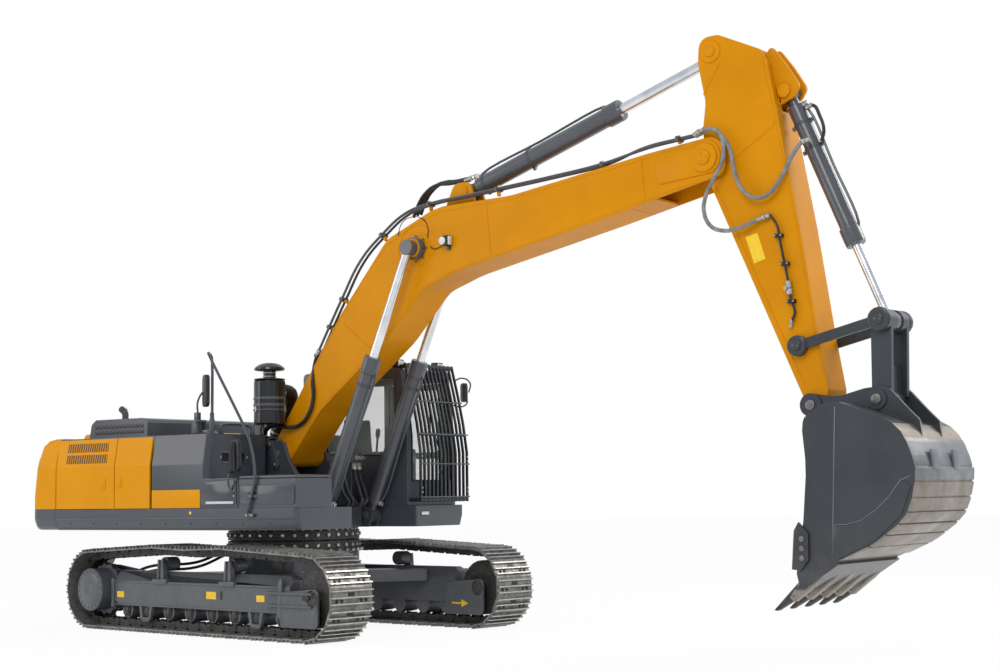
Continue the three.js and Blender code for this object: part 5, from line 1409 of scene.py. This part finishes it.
def fit_cab():
    panes = [side_plate([(1.322, 1.76), (1.328, 1.76), (1.328, 2.3), (1.25, 3.02), (1.244, 3.02), (1.322, 2.3)],
        0.63, 1.4, Finish.glass, 0), block((-0.21, 0.557, 2.08), (1.16, 0.563, 3.02), Finish.glass, 0),
        block((-0.313, 0.65, 2.36), (-0.307, 1.38, 3.02), Finish.glass, 0),
        block((-0.21, 1.467, 2.15), (0.24, 1.473, 2.99), Finish.glass, 0),]
    gather("cab_glass", panes, "upper")
    door = [block((0.42, 1.468, 2.12), (1.11, 1.474, 2.9), Finish.glass, 0),
        block((0.42, 1.468, 1.72), (1.11, 1.474, 2.04), Finish.glass, 0)]
    gather("cab_door_glass", door, "cab_door")
    handle = [block((1.05, 1.495, 2.055), (1.16, 1.502, 2.105), Finish.plastic, 0.003),
        hose([(1.07, 1.5, 2.065), (1.075, 1.53, 2.07), (1.14, 1.53, 2.08), (1.145, 1.5, 2.085)], 0.008,
        Finish.plastic), hose([(0.37, 1.45, 1.68), (0.37, 1.43, 1.72), (0.37, 1.43, 2.3), (0.37, 1.45, 2.34)],
        0.012, Finish.plastic)]
    gather("cab_door_handle", handle, "cab_door")
    # rubber seals round the windows, gutters, floor lip and grab rail
    trim = [seal([(-0.21, 0.54, 2.08), (1.16, 0.54, 2.08), (1.16, 0.54, 3.02), (-0.21, 0.54, 3.02),
        (-0.21, 0.54, 2.08)])]
    trim.append(seal([(-0.33, 0.65, 2.36), (-0.33, 1.38, 2.36), (-0.33, 1.38, 3.02), (-0.33, 0.65, 3.02),
        (-0.33, 0.65, 2.36)]))
    trim.append(seal([(1.352, 0.63, 1.76), (1.352, 1.4, 1.76), (1.352, 1.4, 2.3), (1.272, 1.4, 3.02),
        (1.272, 0.63, 3.02), (1.352, 0.63, 2.3), (1.352, 0.63, 1.76)]))
    trim.append(hose([(-0.25, 1.5, 3.08), (1.18, 1.5, 3.08)], 0.012, Finish.slate, steps=1, straight=True))
    trim.append(hose([(1.28, 1.485, 1.7), (1.28, 1.53, 1.74), (1.28, 1.53, 2.2), (1.28, 1.485, 2.24)], 0.014,
        Finish.slate))
    trim.append(block((0.3, 1.485, 1.47), (1.25, 1.52, 1.5), Finish.plastic, 0.006))
    gather("cab_trim", trim, "upper")
    # wiper on the windscreen, dash and levers inside
    wiper = [hose([(1.345, 1.28, 1.86), (1.352, 1.22, 2.0), (1.345, 1.02, 2.5)], 0.007, Finish.plastic),
        block((1.338, 0.99, 2.2), (1.35, 1.01, 2.75), Finish.plastic, 0.003),
        turned((1.33, 1.28, 1.86), (1, 0, 0), [(0.03, 0), (0.03, 0.03), (0.016, 0.034)], Finish.plastic, 16)]
    gather("windscreen_wiper", wiper, "upper")
    inside = [block((0.95, 0.62, 1.52), (1.25, 0.85, 2.15), Finish.plastic, 0.03, 3),
        block((1.0, 0.63, 2.14), (1.22, 0.82, 2.34), Finish.plastic, 0.02, 3)]
    for y in (0.71, 1.32):
        inside.append(turned((0.72, y, 2.05), (0.1, 0, 1), [(0.05, 0), (0.03, 0.05), (0.014, 0.08), (0.014, 0.24),
            (0.028, 0.26), (0.03, 0.33), (0.018, 0.36)], Finish.plastic, 16))
    for y in (0.93, 1.1):
        inside.append(hose([(0.95, y, 1.53), (1.02, y, 1.62), (1.0, y, 1.86)], 0.012, Finish.plastic))
        inside.append(block((0.98, y - 0.05, 1.5), (1.2, y + 0.05, 1.53), Finish.plastic, 0.01))
    gather("cab_controls", inside, "upper")
    # guard: cross bars in front and their bolts
    guard = []
    for z, x in ((1.56, 1.566), (1.96, 1.566), (2.32, 1.545), (2.72, 1.455)):
        guard.append(hose([(x, 0.53, z), (x, 1.5, z)], 0.009, Finish.slate, steps=1, straight=True))
    for y in (0.56, 1.46):
        for z in (1.62, 2.0):
            guard += bolts([(1.562, y, z), (1.562, y, z + 0.05)], (1, 0, 0), 0.012, Finish.zinc, 0.01)
    gather("guard_cross_bars", guard, "upper")
    roof = []
    for y in (0.62, 1.4):
        roof.append(block((1.1, y - 0.07, 3.14), (1.2, y + 0.07, 3.24), Finish.plastic, 0.015, 3))
        roof.append(block((1.198, y - 0.055, 3.155), (1.206, y + 0.055, 3.225), Finish.lens, 0.004))
    gather("roof_lamps", roof, "upper")


def cushion(low, high, crown, finish):
    """A foam pad: a block whose faces swell and whose sides pull in between the corners."""
    piece = block(low, high, finish, 0)
    with editing(piece):
        select_every()
        bpy.ops.mesh.subdivide(number_cuts=7)
        select_every()
        bpy.ops.mesh.normals_make_consistent(inside=False)
    middle = (Vector(low) + Vector(high)) / 2
    half = (Vector(high) - Vector(low)) / 2
    thin = min(range(3), key=lambda i: half[i])
    others = [i for i in range(3) if i != thin]
    for vertex in piece.data.vertices:
        u, v = ((vertex.co[i] - middle[i]) / half[i] for i in others)
        w = (vertex.co[thin] - middle[thin]) / half[thin]
        swell = (1 - u * u) * (1 - v * v)
        vertex.co[thin] = middle[thin] + half[thin] * w * (0.72 + 0.28 * swell)
        for i, (own, other) in zip(others, ((u, v), (v, u))):
            pull = crown * (1 - other * other) * abs(own) ** 3 * (1 if own > 0 else -1)
            vertex.co[i] -= pull
    bpy.context.view_layer.objects.active = piece
    piece.select_set(True)
    edge = piece.modifiers.new("soft", "SUBSURF")
    edge.levels = edge.render_levels = 1
    bpy.ops.object.modifier_apply(modifier="soft")
    return piece


def build_chair():
    y, floor = 1.015, 1.5106
    frame_parts = [turned((0.52, y, floor), UP, [(0.24, 0), (0.24, 0.02), (0.16, 0.05), (0.13, 0.22), (0.2, 0.27),
        (0.2, 0.29)], Finish.plastic, 28), block((0.28, y - 0.23, floor + 0.28), (0.76, y + 0.23, floor + 0.33),
        Finish.plastic, 0.015, 3), side_plate([(0.16, floor + 0.34), (0.2, floor + 0.34), (0.14, floor + 1.02),
        (0.11, floor + 1.02)], y - 0.2, y + 0.2, Finish.plastic, 0.012),]
    for side in (-1, 1):
        low, high = sorted((y + side * 0.28, y + side * 0.36))
        frame_parts.append(block((0.34, low, floor + 0.41), (0.74, high, floor + 0.55), Finish.plastic, 0.03, 4))
        inner, outer = sorted((y + side * 0.2, y + side * 0.3))
        frame_parts.append(block((0.4, inner, floor + 0.34), (0.6, outer, floor + 0.43), Finish.plastic, 0.015, 3))
    chair = gather("chair_frame", frame_parts, "upper")
    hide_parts("operator_chair")
    seat = gather("seat_cushion", [cushion((0.26, y - 0.24, floor + 0.32), (0.79, y + 0.24, floor + 0.43), 0.012,
        Finish.cloth)], "upper", crease=60)
    back = cushion((0.0, y - 0.23, floor + 0.4), (0.09, y + 0.23, floor + 1.04), 0.012, Finish.cloth)
    lean = Matrix(((1, 0, -0.1, 0.17 + 0.1 * floor + 0.04), (0, 1, 0, 0), (0, 0, 1, 0), (0, 0, 0, 1)))
    back.data.transform(lean)
    back = gather("back_cushion", [back], "upper", crease=60)


def fit_swivel_hoses():
    """Hoses, unions and the valve block that stand between the feet of the boom cylinders."""
    parts = [block((0.72, -0.2, 1.98), (0.9, 0.24, 2.1), Finish.cast, 0.012),
        block((0.78, -0.24, 2.08), (0.84, 0.3, 2.11), Finish.slate, 0.006)]
    for y in (-0.17, -0.08, 0.12, 0.21):
        line = [(0.86, y, 1.98), (0.88, y, 1.82), (0.95, y * 1.05, 1.62), (1.0, y * 0.8, 1.5),
            (0.9, y * 0.6, 1.47), (0.7, y * 0.5, 1.48)]
        parts.append(hose(line, 0.022, Finish.hose))
        parts.append(ferrule(line[0], line[1], 0.022))
        parts.append(turned((0.86, y, 1.99), (0, 0, -1), [(0.034, 0), (0.034, 0.03), (0.028, 0.032),
            (0.036, 0.034), (0.036, 0.07), (0.026, 0.072)], Finish.zinc, 6))
        parts.append(turned((0.9, y, 2.04), (1, 0, 0), [(0.03, 0), (0.03, 0.02), (0.02, 0.022), (0.02, 0.05)],
            Finish.zinc, 12))
    for a, b in (((0.74, -0.17, 1.47), (0.76, -0.17, 1.99)), ((0.74, 0.2, 1.47), (0.76, 0.2, 1.99))):
        parts.append(rod(a, b, 0.016, Finish.slate, sides=12))
    lines = gather("swivel_hoses", parts, "upper")
    lines.parent = None
    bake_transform(lines)


# ---------------------------------------------------------------- studio


def build_stage():
    look = bpy.context.scene.excavator_sizes
    select_none()
    bpy.ops.mesh.primitive_circle_add(vertices=64, radius=90, fill_type="NGON", location=(0, 0, 0))
    ground = bpy.context.object
    ground.name = "studio_ground"
    settle()
    material, tree = blank("pale_ground")
    path = put(tree, "ShaderNodeLightPath")
    matt = put(tree, "ShaderNodeBsdfDiffuse", Color=linear("#F4F4F4"))
    bright = put(tree, "ShaderNodeEmission", Color=(1, 1, 1, 1), Strength=1.0)
    seen = combine(tree, "MAXIMUM", path.outputs["Is Camera Ray"], path.outputs["Is Glossy Ray"])
    seen = combine(tree, "MAXIMUM", seen, path.outputs["Is Transmission Ray"])
    share = put(tree, "ShaderNodeMath", [(0, seen)], operation="MULTIPLY")
    share.inputs[1].default_value = 0.93
    mixed = put(tree, "ShaderNodeMixShader", [("Fac", share.outputs[0])])
    tree.links.new(matt.outputs[0], mixed.inputs[1])
    tree.links.new(bright.outputs[0], mixed.inputs[2])
    close(material, tree, mixed.outputs[0])
    paint(ground, material)

    world = bpy.data.worlds.new("studio")
    world.use_nodes = True
    bpy.context.scene.world = world
    tree = world.node_tree
    tree.nodes.clear()
    path = put(tree, "ShaderNodeLightPath")
    seen = combine(tree, "MAXIMUM", path.outputs["Is Camera Ray"], path.outputs["Is Transmission Ray"])
    soft = put(tree, "ShaderNodeBackground", Color=linear("#E6ECF4"), Strength=look.sky)
    white = put(tree, "ShaderNodeBackground", Color=(1, 1, 1, 1), Strength=1.0)
    mixed = put(tree, "ShaderNodeMixShader", [("Fac", seen)])
    tree.links.new(soft.outputs[0], mixed.inputs[1])
    tree.links.new(white.outputs[0], mixed.inputs[2])
    out = put(tree, "ShaderNodeOutputWorld")
    tree.links.new(mixed.outputs[0], out.inputs["Surface"])

    for name, place, target, size, power in (("key_lamp", (9, -17, 15), (2, 0, 2), 9, look.key),
            ("fill_lamp", (-12, -14, 7), (0, 0, 2), 10, look.fill), ("rim_lamp", (14, 9, 11), (4, 0, 3), 8,
            look.rim)):
        lamp = bpy.data.lights.new(name, "AREA")
        lamp.shape, lamp.size, lamp.energy = "DISK", size, power
        lamp.color = linear("#FFF8F0")[:3]
        holder = bpy.data.objects.new(name, lamp)
        bpy.context.collection.objects.link(holder)
        holder.location = at(*place)
        holder.rotation_euler = (at(*target) - at(*place)).to_track_quat("-Z", "Y").to_euler()


def build_camera():
    yaw, pitch, roll = (math.radians(angle) for angle in (125.753, 5.221, -0.758))
    ahead = Vector((math.cos(pitch) * math.cos(yaw), math.cos(pitch) * math.sin(yaw), math.sin(pitch)))
    right = Vector((math.sin(yaw), -math.cos(yaw), 0))
    above = right.cross(ahead)
    x = math.cos(roll) * right + math.sin(roll) * above
    y = -math.sin(roll) * right + math.cos(roll) * above
    lens = bpy.data.cameras.new("camera")
    lens.lens, lens.sensor_width, lens.sensor_fit = 62.56, 36, "HORIZONTAL"
    lens.clip_start, lens.clip_end = 0.5, 300
    camera = bpy.data.objects.new("camera", lens)
    bpy.context.collection.objects.link(camera)
    turn = Matrix((x, y, -ahead)).transposed().to_4x4()
    camera.matrix_world = Matrix.Translation(at(14.562, -15.861, 1.574)) @ turn
    bpy.context.scene.camera = camera
    bpy.context.scene.view_settings.view_transform = "Standard"


# ---------------------------------------------------------------- sizes, steps and panel


class ExcavatorSizes(bpy.types.PropertyGroup):
    panel_edge: bpy.props.FloatProperty(name="Panel edge",
        description="How far the edges of the folded panels are rounded", default=0.005, min=0.001, max=0.02,
        unit="LENGTH")
    weld_edge: bpy.props.FloatProperty(name="Welded edge",
        description="How far the corners of the boom and arm are rounded", default=0.007, min=0.001, max=0.02,
        unit="LENGTH")
    sky: bpy.props.FloatProperty(name="Sky", description="Strength of the even light from all round", default=0.88,
        min=0, max=3)
    key: bpy.props.FloatProperty(name="Main lamp", description="Power of the large lamp", default=1250, min=0,
        unit="POWER")
    fill: bpy.props.FloatProperty(name="Fill lamp", description="Power of the lamp at the rear", default=500,
        min=0, unit="POWER")
    rim: bpy.props.FloatProperty(name="Rim lamp", description="Power of the lamp beyond the bucket", default=1200,
        min=0, unit="POWER")


class ExcavatorColours(bpy.types.PropertyGroup):
    boom: bpy.props.StringProperty(name="Boom", description="Colour of the boom and arm, as an sRGB hex code",
        default="#D48B00")
    house: bpy.props.StringProperty(name="House",
        description="Colour of the doors and counterweight, as an sRGB hex code", default="#DC9300")
    slate: bpy.props.StringProperty(name="Dark panels",
        description="Colour of the deck, cab and tank, as an sRGB hex code", default="#40454C")


class EXCAVATOR_OT_finishes(bpy.types.Operator):
    """Mixes every paint, steel, rubber and cloth finish."""

    bl_idname = "excavator.finishes"
    bl_label = "Mix finishes"

    def execute(self, context):
        colours = context.scene.excavator_colours
        mix_finishes(colours)
        return {"FINISHED"}


class EXCAVATOR_OT_camera(bpy.types.Operator):
    """Stands the camera in front of the machine, to its right."""

    bl_idname = "excavator.camera"
    bl_label = "Place camera"

    def execute(self, context):
        build_camera()
        return {"FINISHED"}


class EXCAVATOR_OT_stage(bpy.types.Operator):
    """Lays the pale ground and hangs the soft lamps."""

    bl_idname = "excavator.stage"
    bl_label = "Build studio"

    def execute(self, context):
        build_stage()
        return {"FINISHED"}


class EXCAVATOR_OT_undercarriage(bpy.types.Operator):
    """Finishes the track frames, wheels, carbody and slewing ring."""

    bl_idname = "excavator.undercarriage"
    bl_label = "Finish undercarriage"

    def execute(self, context):
        dress_undercarriage()
        return {"FINISHED"}


class EXCAVATOR_OT_tracks(bpy.types.Operator):
    """Lays the shoes and chains of both tracks."""

    bl_idname = "excavator.tracks"
    bl_label = "Build tracks"

    def execute(self, context):
        build_tracks()
        return {"FINISHED"}


class EXCAVATOR_OT_house(bpy.types.Operator):
    """Finishes the deck, doors, hood, tank and counterweight."""

    bl_idname = "excavator.house"
    bl_label = "Finish house"

    def execute(self, context):
        dress_house()
        return {"FINISHED"}


class EXCAVATOR_OT_cab(bpy.types.Operator):
    """Finishes the cab, its door, hatch and guard."""

    bl_idname = "excavator.cab"
    bl_label = "Finish cab"

    def execute(self, context):
        dress_cab()
        return {"FINISHED"}


class EXCAVATOR_OT_front(bpy.types.Operator):
    """Finishes the boom, arm, bucket, links and cylinders."""

    bl_idname = "excavator.front"
    bl_label = "Finish front"

    def execute(self, context):
        dress_front()
        return {"FINISHED"}


class EXCAVATOR_OT_track_frames(bpy.types.Operator):
    """Adds roller brackets, caps, ribs and blank stickers to the track frames."""

    bl_idname = "excavator.track_frames"
    bl_label = "Fit track frames"

    def execute(self, context):
        fit_track_frames()
        return {"FINISHED"}


class EXCAVATOR_OT_slew_ring(bpy.types.Operator):
    """Adds the rings of bolts and the drive hoses."""

    bl_idname = "excavator.slew_ring"
    bl_label = "Fit slewing ring"

    def execute(self, context):
        fit_slew_ring()
        return {"FINISHED"}


class EXCAVATOR_OT_doors(bpy.types.Operator):
    """Adds louvres and latches to the side doors."""

    bl_idname = "excavator.doors"
    bl_label = "Fit doors"

    def execute(self, context):
        fit_doors()
        return {"FINISHED"}


class EXCAVATOR_OT_deck(bpy.types.Operator):
    """Adds skirt edges, pin retainers and plates to the deck."""

    bl_idname = "excavator.deck"
    bl_label = "Fit deck"

    def execute(self, context):
        fit_house()
        return {"FINISHED"}


class EXCAVATOR_OT_counterweight(bpy.types.Operator):
    """Adds lifting eyes and lamps to the counterweight."""

    bl_idname = "excavator.counterweight"
    bl_label = "Fit counterweight"

    def execute(self, context):
        fit_counterweight()
        return {"FINISHED"}


class EXCAVATOR_OT_hood(bpy.types.Operator):
    """Adds vents, handles and the exhaust collar to the hood."""

    bl_idname = "excavator.hood"
    bl_label = "Fit hood"

    def execute(self, context):
        fit_hood()
        return {"FINISHED"}


class EXCAVATOR_OT_tank(bpy.types.Operator):
    """Adds the step, filler and panels to the tank and tool box."""

    bl_idname = "excavator.tank"
    bl_label = "Fit tank"

    def execute(self, context):
        fit_tank()
        return {"FINISHED"}


class EXCAVATOR_OT_rails(bpy.types.Operator):
    """Adds the boarding rail and the mirrors."""

    bl_idname = "excavator.rails"
    bl_label = "Fit rails and mirrors"

    def execute(self, context):
        fit_rails()
        return {"FINISHED"}


class EXCAVATOR_OT_air_cleaner(bpy.types.Operator):
    """Adds bands, clamps, cap and duct to the air cleaner."""

    bl_idname = "excavator.air_cleaner"
    bl_label = "Fit air cleaner"

    def execute(self, context):
        fit_air_cleaner()
        return {"FINISHED"}


class EXCAVATOR_OT_boom(bpy.types.Operator):
    """Adds welds, pipes, hoses, sleeves and the lamp to the boom."""

    bl_idname = "excavator.boom"
    bl_label = "Fit boom"

    def execute(self, context):
        fit_boom()
        return {"FINISHED"}


class EXCAVATOR_OT_elbow_hoses(bpy.types.Operator):
    """Hangs the two guarded hoses across the elbow."""

    bl_idname = "excavator.elbow_hoses"
    bl_label = "Hang elbow hoses"

    def execute(self, context):
        fit_elbow_hoses()
        return {"FINISHED"}


class EXCAVATOR_OT_arm(bpy.types.Operator):
    """Adds welds, the blank sticker and the greasing pipe to the arm."""

    bl_idname = "excavator.arm"
    bl_label = "Fit arm"

    def execute(self, context):
        fit_arm()
        return {"FINISHED"}


class EXCAVATOR_OT_cylinders(bpy.types.Operator):
    """Adds glands, straps, ports and pipes to the cylinders."""

    bl_idname = "excavator.cylinders"
    bl_label = "Fit cylinders"

    def execute(self, context):
        fit_cylinders()
        return {"FINISHED"}


class EXCAVATOR_OT_bucket(bpy.types.Operator):
    """Adds wear plates, side cutters, strips and teeth to the bucket."""

    bl_idname = "excavator.bucket"
    bl_label = "Fit bucket"

    def execute(self, context):
        fit_bucket()
        return {"FINISHED"}


class EXCAVATOR_OT_links(bpy.types.Operator):
    """Adds caps to the ends of the side links."""

    bl_idname = "excavator.links"
    bl_label = "Fit links"

    def execute(self, context):
        fit_links()
        return {"FINISHED"}


class EXCAVATOR_OT_cab_fittings(bpy.types.Operator):
    """Adds glass, seals, handle, wiper, lamps and controls to the cab."""

    bl_idname = "excavator.cab_fittings"
    bl_label = "Fit cab"

    def execute(self, context):
        fit_cab()
        return {"FINISHED"}


class EXCAVATOR_OT_chair(bpy.types.Operator):
    """Builds the operator chair with its cushions."""

    bl_idname = "excavator.chair"
    bl_label = "Build chair"

    def execute(self, context):
        build_chair()
        return {"FINISHED"}


class EXCAVATOR_OT_swivel_hoses(bpy.types.Operator):
    """Adds the valve block and hoses between the boom cylinders."""

    bl_idname = "excavator.swivel_hoses"
    bl_label = "Fit swivel hoses"

    def execute(self, context):
        fit_swivel_hoses()
        return {"FINISHED"}


STEPS = (EXCAVATOR_OT_finishes, EXCAVATOR_OT_camera, EXCAVATOR_OT_stage, EXCAVATOR_OT_undercarriage,
    EXCAVATOR_OT_tracks, EXCAVATOR_OT_house, EXCAVATOR_OT_cab, EXCAVATOR_OT_front, EXCAVATOR_OT_track_frames,
    EXCAVATOR_OT_slew_ring, EXCAVATOR_OT_doors, EXCAVATOR_OT_deck, EXCAVATOR_OT_counterweight, EXCAVATOR_OT_hood,
    EXCAVATOR_OT_tank, EXCAVATOR_OT_rails, EXCAVATOR_OT_air_cleaner, EXCAVATOR_OT_boom, EXCAVATOR_OT_elbow_hoses,
    EXCAVATOR_OT_arm, EXCAVATOR_OT_cylinders, EXCAVATOR_OT_bucket, EXCAVATOR_OT_links, EXCAVATOR_OT_cab_fittings,
    EXCAVATOR_OT_chair, EXCAVATOR_OT_swivel_hoses,)


class EXCAVATOR_PT_panel(bpy.types.Panel):
    """Sizes, colours and steps of the excavator"""

    bl_label = "Crawler excavator"
    bl_idname = "EXCAVATOR_PT_panel"
    bl_space_type = "VIEW_3D"
    bl_region_type = "UI"
    bl_category = "Excavator"

    def draw(self, context):
        for group in (context.scene.excavator_sizes, context.scene.excavator_colours):
            for key in group.__annotations__:
                self.layout.prop(group, key)
        for entry in STEPS:
            self.layout.operator(entry.bl_idname)


CLASSES = (ExcavatorSizes, ExcavatorColours, *STEPS, EXCAVATOR_PT_panel)


def register():
    for entry in CLASSES:
        bpy.utils.register_class(entry)
    bpy.types.Scene.excavator_sizes = bpy.props.PointerProperty(type=ExcavatorSizes)
    bpy.types.Scene.excavator_colours = bpy.props.PointerProperty(type=ExcavatorColours)


def unregister():
    del bpy.types.Scene.excavator_colours
    del bpy.types.Scene.excavator_sizes
    for entry in reversed(CLASSES):
        bpy.utils.unregister_class(entry)


def main():
    register()
    for entry in STEPS:
        family, action = entry.bl_idname.split(".")
        getattr(getattr(bpy.ops, family), action)()


if __name__ == "__main__":
    main()
